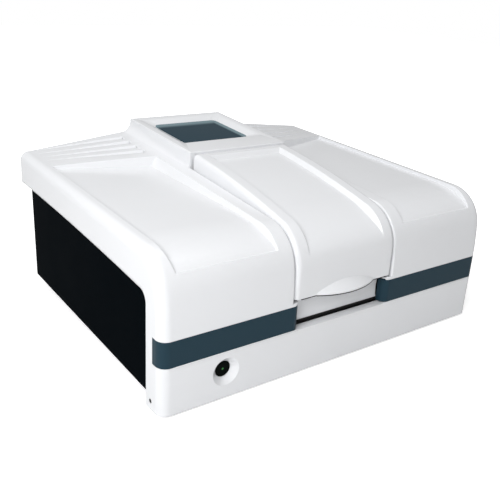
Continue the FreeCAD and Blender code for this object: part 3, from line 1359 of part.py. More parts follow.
def beam_hole(x0, x1, y, radius=6.0):
    """Hole for the beam, along X."""
    return rod(radius, (x0, y, BEAM_Z), (x1, y, BEAM_Z))


def monochromator_housing():
    """Cast housing of the monochromator, with its entry and exit."""
    body = housing(MONO_LEFT_X, MONO_RIGHT_X, MONO_FRONT_Y, MONO_REAR_Y, MONO_TOP_Z, MONO_WALL)
    exit_hole = beam_hole(MONO_RIGHT_X - MONO_WALL - 1.0, MONO_RIGHT_X + 1.0, SAMPLE_Y)
    entry = rod(6.0, (ENTRY_X, MONO_REAR_Y - MONO_WALL - 1.0, BEAM_Z), (ENTRY_X, MONO_REAR_Y + 1.0, BEAM_Z))
    return body.cut([exit_hole, entry])


def monochromator_cover():
    """Cover of the monochromator."""
    return lid_plate(MONO_LEFT_X, MONO_RIGHT_X, MONO_FRONT_Y, MONO_REAR_Y, MONO_TOP_Z, COVER_THICK)


def slit_plates():
    """Entry and exit slits of the monochromator."""
    inside = MONO_REAR_Y - MONO_WALL
    entry = box(ENTRY_X - 12.0, ENTRY_X + 12.0, inside - 2.0, inside, BEAM_Z - 14.0, BEAM_Z + 14.0)
    entry = entry.cut(box(ENTRY_X - 0.5, ENTRY_X + 0.5, inside - 3.0, inside + 1.0,
                          BEAM_Z - 5.0, BEAM_Z + 5.0))
    side = MONO_RIGHT_X - MONO_WALL
    leave = box(side - 2.0, side, SAMPLE_Y - 12.0, SAMPLE_Y + 12.0, BEAM_Z - 14.0, BEAM_Z + 14.0)
    leave = leave.cut(box(side - 3.0, side + 1.0, SAMPLE_Y - 0.5, SAMPLE_Y + 0.5, BEAM_Z - 5.0, BEAM_Z + 5.0))
    return Part.makeCompound([entry, leave])


def mirror_on_post(x, y, turn, floor, width, height):
    """Upright mirror on a round post."""
    post = rod(6.0, (x, y, floor), (x, y, BEAM_Z - height / 2.0))
    holder = box(-width / 2.0, width / 2.0, -6.0, -MIRROR_THICK / 2.0 + 1.0,
                 BEAM_Z - height / 2.0 - 3.0, BEAM_Z + height / 2.0)
    holder.rotate(Vector(0, 0, 0), Vector(0, 0, 1), turn)
    holder.translate(Vector(x, y, 0))
    return post.fuse(holder).removeSplitter()


def mirror_glass(x, y, turn, width, height, hollow):
    """Glass of a mirror, flat or hollow."""
    low = BEAM_Z - height / 2.0
    glass = box(-width / 2.0, width / 2.0, -MIRROR_THICK / 2.0 + 1.0, MIRROR_THICK / 2.0 + 1.0,
                low, low + height)
    if hollow:
        reach = MIRROR_THICK / 2.0 + 1.0 + math.sqrt(hollow ** 2 - (width * 0.4) ** 2)
        glass = glass.cut(rod(hollow, (0, reach, low - 1.0), (0, reach, low + height + 1.0)))
    glass.rotate(Vector(0, 0, 0), Vector(0, 0, 1), turn)
    glass.translate(Vector(x, y, 0))
    return glass


BEAM_MIRRORS = (
    (MIRROR_X, SAMPLE_Y, -45.0),
    (MIRROR_X, REFERENCE_Y, 135.0 + 180.0),
)
COLLIMATORS = (
    (MONO_LEFT_X + 52.0, MONO_FRONT_Y + 26.0, 8.0),
    (MONO_RIGHT_X - 48.0, MONO_FRONT_Y + 26.0, -8.0),
)


def mirror_posts():
    """Posts and frames of every fixed mirror."""
    posts = []
    for x, y, turn in BEAM_MIRRORS:
        posts.append(mirror_on_post(x, y, turn, BENCH_TOP_Z, MIRROR_WIDTH, MIRROR_WIDTH))
    for x, y, turn in COLLIMATORS:
        size = MIRROR_WIDTH * 1.6
        posts.append(mirror_on_post(x, y, turn, BENCH_TOP_Z + MONO_WALL, size, size))
    return Part.makeCompound(posts)


def beam_mirrors():
    """Flat mirrors that split the beam between the two holders."""
    glasses = [mirror_glass(x, y, turn, MIRROR_WIDTH, MIRROR_WIDTH, 0.0) for x, y, turn in BEAM_MIRRORS]
    return Part.makeCompound(glasses)


def collimating_mirrors():
    """Hollow mirrors of the monochromator."""
    size = MIRROR_WIDTH * 1.6
    return Part.makeCompound([mirror_glass(x, y, turn, size, size, 150.0) for x, y, turn in COLLIMATORS])


def grating_motor():
    """Motor under the grating, on the floor of the monochromator."""
    floor = BENCH_TOP_Z + MONO_WALL
    body = rod(GRATING_MOTOR_R, (GRATING_X, GRATING_Y, floor), (GRATING_X, GRATING_Y, TURRET_Z - 2.0))
    bore = rod(SHAFT_R + SHAFT_GAP, (GRATING_X, GRATING_Y, floor + 5.0), (GRATING_X, GRATING_Y, TURRET_Z))
    return body.cut(bore)


def grating_turret():
    """Turntable with the grating's block, on its shaft."""
    floor = BENCH_TOP_Z + MONO_WALL
    table = rod(TURRET_R, (GRATING_X, GRATING_Y, TURRET_Z), (GRATING_X, GRATING_Y, TURRET_Z + 5.0))
    block = box(GRATING_X - 16.0, GRATING_X + 16.0, GRATING_Y, GRATING_Y + 12.0,
                TURRET_Z + 5.0, BEAM_Z + 18.0)
    shaft = rod(SHAFT_R, (GRATING_X, GRATING_Y, floor + 6.0), (GRATING_X, GRATING_Y, TURRET_Z))
    return fused([table, block, shaft])


def grating():
    """Ruled grating on the front of its block."""
    return box(GRATING_X - 15.0, GRATING_X + 15.0, GRATING_Y - 4.0, GRATING_Y,
               BEAM_Z - 12.0, BEAM_Z + 16.0)


def filter_motor():
    """Motor of the filter wheel on its bracket."""
    bracket = box(FILTER_X - 16.0, FILTER_X + 16.0, FILTER_MOTOR_Y - 3.0, FILTER_MOTOR_Y, BENCH_TOP_Z,
                  BEAM_Z + FILTER_MOTOR_R)
    body = rod(FILTER_MOTOR_R, (FILTER_X, FILTER_MOTOR_Y, BEAM_Z), (FILTER_X, FILTER_Y - 3.0, BEAM_Z))
    bore = rod(SHAFT_R + SHAFT_GAP, (FILTER_X, FILTER_Y - 12.0, BEAM_Z), (FILTER_X, FILTER_Y, BEAM_Z))
    return bracket.fuse(body).cut(bore).removeSplitter()


def filter_wheel():
    """Wheel with the stray-light filters, in front of the entry slit."""
    end = FILTER_Y + WHEEL_THICK
    wheel = rod(FILTER_R, (FILTER_X, FILTER_Y, BEAM_Z), (FILTER_X, end, BEAM_Z))
    hub = rod(7.0, (FILTER_X, FILTER_Y, BEAM_Z), (FILTER_X, end + 3.0, BEAM_Z))
    shaft = rod(SHAFT_R, (FILTER_X, FILTER_Y - 11.0, BEAM_Z), (FILTER_X, FILTER_Y, BEAM_Z))
    holes = []
    radius = FILTER_X - ENTRY_X
    for index in range(FILTERS):
        turn = math.radians(180.0 + index * 360.0 / FILTERS)
        x = FILTER_X + radius * math.cos(turn)
        z = BEAM_Z + radius * math.sin(turn)
        holes.append(rod(FILTER_HOLE_R, (x, FILTER_Y - 1.0, z), (x, end + 1.0, z)))
    return fused([wheel, hub, shaft]).cut(holes)


def chopper_motor():
    """Motor of the beam chopper on its bracket."""
    z = BEAM_Z + CHOPPER_RISE
    middle = (SAMPLE_Y + REFERENCE_Y) / 2.0
    bracket = box(CHOPPER_MOTOR_X - 3.0, CHOPPER_MOTOR_X, middle - 18.0, middle + 18.0, BENCH_TOP_Z,
                  z + CHOPPER_MOTOR_R)
    body = rod(CHOPPER_MOTOR_R, (CHOPPER_MOTOR_X, middle, z), (CHOPPER_X - 4.0, middle, z))
    bore = rod(SHAFT_R + SHAFT_GAP, (CHOPPER_X - 14.0, middle, z), (CHOPPER_X, middle, z))
    return bracket.fuse(body).cut(bore).removeSplitter()


def chopper_wheel():
    """Slotted wheel that lets the sample and the reference beam through in turn."""
    z = BEAM_Z + CHOPPER_RISE
    middle = (SAMPLE_Y + REFERENCE_Y) / 2.0
    wheel = rod(CHOPPER_R, (CHOPPER_X, middle, z), (CHOPPER_X + WHEEL_THICK, middle, z))
    ring = tube(CHOPPER_R - 3.0, CHOPPER_R - 24.0, (CHOPPER_X - 1.0, middle, z),
                (CHOPPER_X + WHEEL_THICK + 1.0, middle, z))
    spokes = []
    for turn in (0.0, 90.0):
        spoke = box(CHOPPER_X - 2.0, CHOPPER_X + WHEEL_THICK + 2.0, -CHOPPER_R, CHOPPER_R, -14.0, 14.0)
        spoke.rotate(Vector(0, 0, 0), Vector(1, 0, 0), turn)
        spoke.translate(Vector(0, middle, z))
        spokes.append(spoke)
    wheel = wheel.cut(ring.cut(spokes))
    hub = rod(6.0, (CHOPPER_X, middle, z), (CHOPPER_X + WHEEL_THICK + 2.0, middle, z))
    shaft = rod(SHAFT_R, (CHOPPER_X - 13.0, middle, z), (CHOPPER_X, middle, z))
    return fused([wheel, hub, shaft])


def lamp_housing():
    """Sheet housing of the two lamps, with its exit towards the filter wheel."""
    body = housing(LAMP_LEFT_X, LAMP_RIGHT_X, LAMP_FRONT_Y, LAMP_REAR_Y, LAMP_TOP_Z, SHEET)
    hole = rod(10.0, (ENTRY_X, LAMP_FRONT_Y - 1.0, BEAM_Z), (ENTRY_X, LAMP_FRONT_Y + SHEET + 1.0, BEAM_Z))
    slots = []
    for index in range(6):
        x = LAMP_LEFT_X + 20.0 + index * 16.0
        slots.append(box(x, x + 6.0, LAMP_REAR_Y - SHEET - 1.0, LAMP_REAR_Y + 1.0, 110.0, 145.0))
    return body.cut([hole] + slots)


def lamp_cover():
    """Cover of the lamp housing."""
    return lid_plate(LAMP_LEFT_X, LAMP_RIGHT_X, LAMP_FRONT_Y, LAMP_REAR_Y, LAMP_TOP_Z, SHEET * 2.0)


def lamp_bases():
    """Sockets of the two lamps."""
    floor = BENCH_TOP_Z + SHEET
    bases = []
    for x in (DEUTERIUM_X, TUNGSTEN_X):
        bases.append(rod(LAMP_BASE_R, (x, LAMP_Y, floor), (x, LAMP_Y, floor + 18.0)))
    return Part.makeCompound(bases)


def lamp_bulb(x, radius, height):
    """Glass bulb with a round top."""
    low = BENCH_TOP_Z + SHEET + 18.0
    bulb = rod(radius, (x, LAMP_Y, low), (x, LAMP_Y, low + height))
    crown = [edge for edge in bulb.Edges if edge.BoundBox.ZMin > low + height - 0.1]
    return bulb.makeFillet(radius * 0.7, crown)


def source_motor():
    """Motor that turns the source mirror."""
    floor = BENCH_TOP_Z + SHEET
    body = rod(12.0, (ENTRY_X, SOURCE_Y, floor), (ENTRY_X, SOURCE_Y, floor + 20.0))
    bore = rod(SHAFT_R + SHAFT_GAP, (ENTRY_X, SOURCE_Y, floor + 6.0), (ENTRY_X, SOURCE_Y, floor + 21.0))
    return body.cut(bore)


def source_mirror():
    """Mirror that turns between the two lamps, on its shaft."""
    floor = BENCH_TOP_Z + SHEET
    low = floor + 22.0
    seat = rod(9.0, (ENTRY_X, SOURCE_Y, low), (ENTRY_X, SOURCE_Y, low + 3.0))
    plate = box(ENTRY_X - 9.0, ENTRY_X + 9.0, SOURCE_Y - 1.5, SOURCE_Y + 1.5, low + 3.0, BEAM_Z + 12.0)
    shaft = rod(SHAFT_R, (ENTRY_X, SOURCE_Y, floor + 7.0), (ENTRY_X, SOURCE_Y, low))
    return fused([seat, plate, shaft])


def detector_housing():
    """Housing of the detectors, with a port for each beam."""
    body = housing(DETECTOR_LEFT_X, DETECTOR_RIGHT_X, DETECTOR_FRONT_Y, DETECTOR_REAR_Y, DETECTOR_TOP_Z, 4.0)
    ports = [beam_hole(DETECTOR_LEFT_X - 1.0, DETECTOR_LEFT_X + 5.0, y, 9.0) for y in (SAMPLE_Y, REFERENCE_Y)]
    return body.cut(ports)


def detector_tubes():
    """Light detectors, one in the path of each beam."""
    floor = BENCH_TOP_Z + 4.0
    tubes = []
    for y in (SAMPLE_Y, REFERENCE_Y):
        x = (DETECTOR_LEFT_X + DETECTOR_RIGHT_X) / 2.0 + 8.0
        tubes.append(rod(14.0, (x, y, floor), (x, y, BEAM_Z + 22.0)))
    return Part.makeCompound(tubes)


def main_board():
    """Circuit board on its spacers, with its larger components."""
    low = BENCH_TOP_Z + BOARD_LIFT
    top = low + BOARD_THICK
    pieces = [box(BOARD_LEFT_X, BOARD_RIGHT_X, BOARD_FRONT_Y, BOARD_REAR_Y, low, top)]
    for x in (BOARD_LEFT_X + 8.0, BOARD_RIGHT_X - 8.0):
        for y in (BOARD_FRONT_Y + 8.0, BOARD_REAR_Y - 8.0):
            pieces.append(rod(4.0, (x, y, BENCH_TOP_Z), (x, y, low)))
    spots = (
        (30.0, 40.0, 28.0, 28.0, 3.0), (80.0, 40.0, 40.0, 14.0, 4.0), (80.0, 70.0, 40.0, 14.0, 4.0),
        (150.0, 50.0, 30.0, 30.0, 12.0), (30.0, 120.0, 18.0, 50.0, 9.0), (75.0, 130.0, 22.0, 22.0, 4.0),
        (120.0, 130.0, 60.0, 20.0, 14.0), (40.0, 190.0, 120.0, 10.0, 10.0),
    )
    for x, y, width, length, height in spots:
        left = BOARD_LEFT_X + x
        front = BOARD_FRONT_Y + y
        pieces.append(box(left, left + width, front, front + length, top, top + height))
    return fused(pieces)


def power_supply():
    """Sheet case of the power supply, with its air slots."""
    top = BENCH_TOP_Z + SUPPLY_HEIGHT
    case = box(SUPPLY_LEFT_X, SUPPLY_RIGHT_X, SUPPLY_FRONT_Y, SUPPLY_REAR_Y, BENCH_TOP_Z, top)
    slots = []
    for index in range(9):
        y = SUPPLY_FRONT_Y + 18.0 + index * 16.0
        slots.append(box(SUPPLY_LEFT_X + 14.0, SUPPLY_RIGHT_X - 14.0, y, y + 6.0, top - 3.0, top + 1.0))
    return case.cut(slots)


PARTS = [
    ("top_cover", top_cover),
    ("band_left", lambda: band(-1.0)),
    ("band_right", lambda: band(1.0)),
    ("front_plate", front_plate),
    ("tower_window", tower_window),
    ("lid_shell", lid_shell),
    ("lid_liner", lid_liner),
    ("lid_seal", lid_seal),
    ("hinge_arms", hinge_arms),
    ("hinge_brackets", hinge_brackets),
    ("hinge_pins", hinge_pins),
    ("sample_compartment", sample_compartment),
    ("beam_windows", beam_windows),
    ("window_rings", window_rings),
    ("holder_base", holder_base),
    ("holder_screws", holder_screws),
    ("sample_holder", lambda: cell_holder(SAMPLE_Y)),
    ("reference_holder", lambda: cell_holder(REFERENCE_Y)),
    ("power_button", power_button),
    ("power_indicator", power_indicator),
    ("power_switch", power_switch),
    ("base_pan", base_pan),
    ("bezel_screws", bezel_screws),
    ("side_panel_left", lambda: side_panel(-1.0)),
    ("side_panel_right", lambda: side_panel(1.0)),
    ("rear_panel", rear_panel),
    ("rubber_feet", rubber_feet),
    ("cover_posts", cover_posts),
    ("optical_bench", optical_bench),
    ("bench_mounts", bench_mounts),
    ("fan_frame", fan_frame),
    ("fan_rotor", fan_rotor),
    ("fan_guard", fan_guard),
    ("mains_inlet", mains_inlet),
    ("fuse_drawer", fuse_drawer),
    ("data_port", data_port),
    ("monochromator_housing", monochromator_housing),
    ("monochromator_cover", monochromator_cover),
    ("slit_plates", slit_plates),
    ("mirror_posts", mirror_posts),
    ("beam_mirrors", beam_mirrors),
    ("collimating_mirrors", collimating_mirrors),
    ("grating_motor", grating_motor),
    ("grating_turret", grating_turret),
    ("grating", grating),
    ("filter_motor", filter_motor),
    ("filter_wheel", filter_wheel),
    ("chopper_motor", chopper_motor),
    ("chopper_wheel", chopper_wheel),
    ("lamp_housing", lamp_housing),
    ("lamp_cover", lamp_cover),
    ("lamp_bases", lamp_bases),
    ("deuterium_lamp", lambda: lamp_bulb(DEUTERIUM_X, LAMP_BULB_R, 50.0)),
    ("tungsten_lamp", lambda: lamp_bulb(TUNGSTEN_X, LAMP_BULB_R * 0.7, 38.0)),
    ("source_motor", source_motor),
    ("source_mirror", source_mirror),
    ("detector_housing", detector_housing),
    ("detector_tubes", detector_tubes),
    ("main_board", main_board),
    ("power_supply", power_supply),
]


def main():
    """Build and write every sub-part."""
    os.makedirs("parts", exist_ok=True)
    for name, build in PARTS:
        export(name, build())


if __name__ == "__main__":
    main()
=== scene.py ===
"""Looks of the bench spectrophotometer: finishes of every piece, small fittings and the studio."""

import math

import bmesh
import bpy
from mathutils import Matrix, Vector


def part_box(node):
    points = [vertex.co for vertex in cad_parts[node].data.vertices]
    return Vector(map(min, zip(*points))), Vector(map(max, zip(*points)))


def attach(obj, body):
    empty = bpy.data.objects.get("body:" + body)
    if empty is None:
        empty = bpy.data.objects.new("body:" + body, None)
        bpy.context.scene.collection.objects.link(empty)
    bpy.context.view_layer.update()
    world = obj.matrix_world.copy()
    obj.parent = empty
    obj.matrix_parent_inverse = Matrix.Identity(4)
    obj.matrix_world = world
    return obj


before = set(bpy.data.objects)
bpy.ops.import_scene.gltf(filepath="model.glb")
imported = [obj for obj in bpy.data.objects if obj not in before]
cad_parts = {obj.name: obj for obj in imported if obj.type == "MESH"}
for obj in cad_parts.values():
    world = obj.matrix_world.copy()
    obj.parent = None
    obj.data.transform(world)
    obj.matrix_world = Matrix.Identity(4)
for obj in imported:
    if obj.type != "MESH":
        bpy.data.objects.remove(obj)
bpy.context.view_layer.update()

bl_info = {
    "name": "Bench spectrophotometer",
    "version": (1, 0, 0),
    "blender": (4, 5, 0),
    "location": "3D View > Sidebar > Spectrophotometer",
    "description": "Dresses the packed spectrophotometer and sets up its studio",
    "category": "Add Mesh",
}

MM = 0.001

# Edges: angle above which an edge stays crisp, the gap that joins split vertices, and how
# strongly large faces steer the shading
CREASE_DEG = 32.0
FITTING_CREASE_DEG = 35.0
JOIN_GAP = 0.01 * MM
FACE_WEIGHT = 80

# Part of a noise's range that the gloss follows
GLOSS_SPAN = (0.25, 0.75)

# Colours that have no setting
MIRROR = (0.88, 0.89, 0.90)
CERAMIC_DARK = (0.66, 0.63, 0.56)
CERAMIC_LIGHT = (0.78, 0.75, 0.69)
RESIST_DARK = (0.004, 0.060, 0.022)
RESIST_LIGHT = (0.006, 0.075, 0.030)
TRACK = (0.020, 0.130, 0.055)
# Black of the foam seal, also used for the painted shade under the lid's edge and at the foot of the
# recess plate
FOAM_AND_SHADE_BLACK = (0.010, 0.010, 0.010)
QUARTZ = (0.96, 0.98, 1.0)
FLOOR = (0.82, 0.82, 0.82)

# Heights on the casing between which the dishes run out, and how much wider edges shade there
FADE_RISE = (0.180, 0.198)
FADE_DROP = (0.228, 0.212)
FADE_WIDTH = 7.0

# Window: where its painted reflection, a paler rim, starts and stops, inwards from the back and from
# the right edge
BACK_REFLECTION_RIM = (30 * MM, 10 * MM)
SIDE_REFLECTION_RIM = (16 * MM, 8 * MM)

# Dark bead under the lid's front edge, painted shade for the shadow line under the finger lip
LID_SHADE_INSET = 0.4 * MM
LID_SHADE_WIDTH = 1.8 * MM
LID_SHADE_HALF = 95 * MM
LID_SHADE_TOP = 0.1 * MM
LID_SHADE_BOTTOM = -2.0 * MM
LIP_STEPS = 40

# Ledges under the bands, and the dark strip at the foot of the recess plate, painted shade for the slot
# there
LEDGE_PROUD = 1.3 * MM
LEDGE_DROP = 1.8 * MM
LEDGE_ROUND = 0.8 * MM
LEDGE_END = 24 * MM
STRIP_PROUD = 0.4 * MM
STRIP_SIDE = 0.5 * MM
STRIP_ROUND = 0.25 * MM
LAP = 0.8 * MM
SLIP = 0.1 * MM

# Ridges of the thumb screws, as shares of the screw's height and radius
RIDGE_RISE = 0.7
RIDGE_SIDE = 0.1

# Screws of the rear panel, as shares of its height and width
SCREW_INSET = 8 * MM
SIDE_SHARES = (0.12, 0.5, 0.92)
FOOT_SHARES = (0.25, 0.5, 0.75)

# Mains socket: half sizes of a pin, its places from the socket's middle, and how deep it stands
PIN_HALF = (1.15 * MM, 6.5 * MM, 2.15 * MM)
PIN_ROUND = 0.5 * MM
PIN_PLACES = ((-7.0, -2.0), (7.0, -2.0), (0.0, 2.5))
PIN_DEPTH = 9.2 * MM
SOCKET_DROP = 6 * MM

# Camera: its place and the directions to its right, up and back
CAMERA_PLACE = (-0.7502, -1.02395, 0.6227)
CAMERA_RIGHT = (0.8167, -0.5745, 0.0546)
CAMERA_UP = (0.1708, 0.3309, 0.9281)
CAMERA_BACK = (-0.5512, -0.7486, 0.3684)

# Lamps: place, what they look at, and their size
KEY_LAMP = ((-1.55, -1.02, 1.28), (0.0, 0.0, 0.15), 1.0)
FILL_LAMP = ((1.9, -1.2, 0.9), (0.0, 0.0, 0.2), 1.6)
OVERHEAD_LAMP = ((-0.3, 0.5, 2.5), (0.0, 0.0, 0.2), 2.2)

# Floor: its half size, and how its white glow grows with the distance from the instrument, a painted
# shade that leaves the floor darker near it
FLOOR_HALF = 6.0
GLOW_REACH = (0.35, 1.1)
GLOW_LEVELS = (0.5, 1.0)


class CasingSettings(bpy.types.PropertyGroup):
    """Colours and surface of the outer mouldings."""

    white: bpy.props.FloatVectorProperty(
        name="White", description="Colour of the casing and the lid", subtype="COLOR",
        size=3, min=0.0, max=1.0, default=(0.80, 0.81, 0.83))
    slate: bpy.props.FloatVectorProperty(
        name="Slate", description="Colour of the front bands and the tower's window", subtype="COLOR",
        size=3, min=0.0, max=1.0, default=(0.013, 0.038, 0.056))
    # Painted reflection: the paler tone that the window takes along its back and right edges
    window_painted_reflection: bpy.props.FloatVectorProperty(
        name="Window rim", description="Paler tone along the window's back and right", subtype="COLOR",
        size=3, min=0.0, max=1.0, default=(0.17, 0.25, 0.28))
    recess: bpy.props.FloatVectorProperty(
        name="Recess", description="Colour of the plate behind the finger lip", subtype="COLOR",
        size=3, min=0.0, max=1.0, default=(0.84, 0.85, 0.87))
    button: bpy.props.FloatVectorProperty(
        name="Button", description="Colour of the power button", subtype="COLOR",
        size=3, min=0.0, max=1.0, default=(0.0015, 0.0030, 0.0020))
    light: bpy.props.FloatVectorProperty(
        name="Light", description="Colour of the light in the power button", subtype="COLOR",
        size=3, min=0.0, max=1.0, default=(0.03, 0.20, 0.04))
    gloss: bpy.props.FloatProperty(
        name="Roughness", description="Roughness of the white mouldings",
        min=0.02, max=1.0, default=0.24)
    edge: bpy.props.FloatProperty(
        name="Edge", description="Radius of the light that the outer edges catch", subtype="DISTANCE",
        unit="LENGTH", min=0.0, max=0.005, default=0.0008)
    grain: bpy.props.FloatProperty(
        name="Grain", description="Size of the moulded surface's grain", subtype="DISTANCE",
        unit="LENGTH", min=0.0001, max=0.01, default=0.0012)


class PanelSettings(bpy.types.PropertyGroup):
    """Colours of the sheet metal, the dark mouldings and what stands inside."""

    black: bpy.props.FloatVectorProperty(
        name="Panel black", description="Colour of the powder-coated panels", subtype="COLOR",
        size=3, min=0.0, max=1.0, default=(0.0010, 0.0022, 0.0034))
    inner: bpy.props.FloatVectorProperty(
        name="Inner black", description="Colour of the compartment, fan and inlet", subtype="COLOR",
        size=3, min=0.0, max=1.0, default=(0.010, 0.010, 0.011))
    metal: bpy.props.FloatVectorProperty(
        name="Metal", description="Colour of the plated sheet and the rear screws", subtype="COLOR",
        size=3, min=0.0, max=1.0, default=(0.56, 0.57, 0.58))
    side_screw: bpy.props.FloatVectorProperty(
        name="Side screw", description="Colour of the screws low on the sides", subtype="COLOR",
        size=3, min=0.0, max=1.0, default=(0.020, 0.020, 0.022))
    rubber: bpy.props.FloatVectorProperty(
        name="Rubber", description="Colour of the feet and the bench's mounts", subtype="COLOR",
        size=3, min=0.0, max=1.0, default=(0.012, 0.012, 0.012))
    alloy: bpy.props.FloatVectorProperty(
        name="Black alloy", description="Colour of the holders, rings and housings", subtype="COLOR",
        size=3, min=0.0, max=1.0, default=(0.012, 0.012, 0.013))
    casting: bpy.props.FloatVectorProperty(
        name="Casting", description="Colour of the optical bench", subtype="COLOR",
        size=3, min=0.0, max=1.0, default=(0.50, 0.51, 0.52))
    motor: bpy.props.FloatVectorProperty(
        name="Motor", description="Colour of the motors and the detector tubes", subtype="COLOR",
        size=3, min=0.0, max=1.0, default=(0.045, 0.048, 0.052))
    brass: bpy.props.FloatVectorProperty(
        name="Brass", description="Colour of the pins in the mains socket", subtype="COLOR",
        size=3, min=0.0, max=1.0, default=(0.62, 0.45, 0.18))


class FittingSettings(bpy.types.PropertyGroup):
    """Sizes of the small fittings."""

    screw_radius: bpy.props.FloatProperty(
        name="Screw head radius", description="Radius of the panel screws' heads", subtype="DISTANCE",
        unit="LENGTH", min=0.001, max=0.01, default=0.0034)
    screw_height: bpy.props.FloatProperty(
        name="Screw head height", description="Height of the panel screws' heads", subtype="DISTANCE",
        unit="LENGTH", min=0.0005, max=0.005, default=0.0019)
    knurls: bpy.props.IntProperty(
        name="Knurls", description="Ridges round each thumb screw", min=8, max=80, default=32)
    lip_half: bpy.props.FloatProperty(
        name="Lip half width", description="Half the width of the lid's finger lip", subtype="DISTANCE",
        unit="LENGTH", min=0.01, max=0.09, default=0.066)
    lip_reach: bpy.props.FloatProperty(
        name="Lip reach", description="How far the finger lip stands out", subtype="DISTANCE",
        unit="LENGTH", min=0.005, max=0.03, default=0.017)
    # Height of the dark strip that paints shade at the foot of the recess plate
    foot_shade_strip: bpy.props.FloatProperty(
        name="Foot strip", description="Height of the strip under the recess plate", subtype="DISTANCE",
        unit="LENGTH", min=0.001, max=0.01, default=0.0042)


class StudioSettings(bpy.types.PropertyGroup):
    """Camera and lamps."""

    lens: bpy.props.FloatProperty(
        name="Lens", description="Focal length for a 36 mm sensor, in millimetres",
        min=10.0, max=200.0, default=49.09)
    key: bpy.props.FloatProperty(
        name="Key", description="Strength of the large soft lamp", subtype="POWER",
        min=0.0, default=28.5)
    fill: bpy.props.FloatProperty(
        name="Fill", description="Strength of the low lamp on the right", subtype="POWER",
        min=0.0, default=0.2)
    overhead: bpy.props.FloatProperty(
        name="Overhead", description="Strength of the wide lamp above", subtype="POWER",
        min=0.0, default=21.0)
    sky: bpy.props.FloatProperty(
        name="Room", description="Level of the light from the white room",
        min=0.0, max=2.0, default=0.42)
    mirrored: bpy.props.FloatProperty(
        name="Mirrored room", description="Level of the room in glossy surfaces",
        min=0.0, max=2.0, default=0.4)


# Node helpers

def new_material(name):
    """A fresh material with its shader and output."""
    material = bpy.data.materials.new(name)
    material.use_nodes = True
    nodes = material.node_tree.nodes
    return material, nodes, material.node_tree.links, nodes["Principled BSDF"]


def coordinates(nodes, links, scale=(1.0, 1.0, 1.0)):
    """Object coordinates, scaled."""
    source = nodes.new("ShaderNodeTexCoord")
    mapping = nodes.new("ShaderNodeMapping")
    mapping.inputs["Scale"].default_value = scale
    links.new(source.outputs["Object"], mapping.inputs["Vector"])
    return mapping.outputs["Vector"]


def axes_of(nodes, links):
    """Node with the object coordinates split into X, Y and Z."""
    source = nodes.new("ShaderNodeTexCoord")
    axes = nodes.new("ShaderNodeSeparateXYZ")
    links.new(source.outputs["Object"], axes.inputs["Vector"])
    return axes


def noise(nodes, links, vector, scale, detail=3.0, rough=0.5):
    """Noise texture on a vector."""
    texture = nodes.new("ShaderNodeTexNoise")
    texture.inputs["Scale"].default_value = scale
    texture.inputs["Detail"].default_value = detail
    texture.inputs["Roughness"].default_value = rough
    links.new(vector, texture.inputs["Vector"])
    return texture.outputs["Fac"]


def vary_gloss(nodes, links, shader, value, low, high):
    """Roughness that runs from low to high over the middle half of a 0 to 1 value."""
    remap = nodes.new("ShaderNodeMapRange")
    remap.inputs["From Min"].default_value = GLOSS_SPAN[0]
    remap.inputs["From Max"].default_value = GLOSS_SPAN[1]
    remap.inputs["To Min"].default_value = low
    remap.inputs["To Max"].default_value = high
    links.new(value, remap.inputs["Value"])
    links.new(remap.outputs["Result"], shader.inputs["Roughness"])


def ramp(nodes, links, value, reach, levels=(0.0, 1.0)):
    """Smooth step from one level to another while a value runs through its reach."""
    step = nodes.new("ShaderNodeMapRange")
    step.interpolation_type = "SMOOTHSTEP"
    step.inputs["From Min"].default_value = reach[0]
    step.inputs["From Max"].default_value = reach[1]
    step.inputs["To Min"].default_value = levels[0]
    step.inputs["To Max"].default_value = levels[1]
    links.new(value, step.inputs["Value"])
    return step.outputs["Result"]


def combine(nodes, links, operation, first, second):
    """Two values joined by a math operation."""
    node = nodes.new("ShaderNodeMath")
    node.operation = operation
    links.new(first, node.inputs[0])
    links.new(second, node.inputs[1])
    return node.outputs["Value"]


def blend_colours(nodes, links, factor, first, second):
    """Two colours mixed by a factor."""
    mix = nodes.new("ShaderNodeMix")
    mix.data_type = "RGBA"
    mix.inputs["A"].default_value = (*first, 1.0)
    mix.inputs["B"].default_value = (*second, 1.0)
    links.new(factor, mix.inputs["Factor"])
    return mix.outputs["Result"]


def mottle(nodes, links, shader, value, colour, dark, light):
    """Base colour that wanders between a darker and a lighter shade with a value."""
    tone = blend_colours(nodes, links, value, shade(colour, dark), shade(colour, light))
    links.new(tone, shader.inputs["Base Color"])


def raise_surface(nodes, links, shader, height, strength, distance, edge=0.0):
    """Bump from a height value, with edges shaded round where a radius is given."""
    bump = nodes.new("ShaderNodeBump")
    if edge:
        soften = nodes.new("ShaderNodeBevel")
        soften.samples = 8
        links.new(edge_radius(nodes, links, edge), soften.inputs["Radius"])
        links.new(soften.outputs["Normal"], bump.inputs["Normal"])
    bump.inputs["Strength"].default_value = strength
    bump.inputs["Distance"].default_value = distance
    links.new(height, bump.inputs["Height"])
    links.new(bump.outputs["Normal"], shader.inputs["Normal"])


def edge_radius(nodes, links, edge):
    """Radius for shaded edges: small, and wide where the dishes run out over the brow."""
    height = axes_of(nodes, links).outputs["Z"]
    rise = ramp(nodes, links, height, FADE_RISE)
    drop = ramp(nodes, links, height, FADE_DROP)
    size = nodes.new("ShaderNodeMapRange")
    size.inputs["To Min"].default_value = edge
    size.inputs["To Max"].default_value = edge * FADE_WIDTH
    links.new(combine(nodes, links, "MINIMUM", rise, drop), size.inputs["Value"])
    return size.outputs["Result"]


def shade(colour, factor):
    """A colour made lighter or darker."""
    return tuple(min(1.0, channel * factor) for channel in colour)


# Finishes

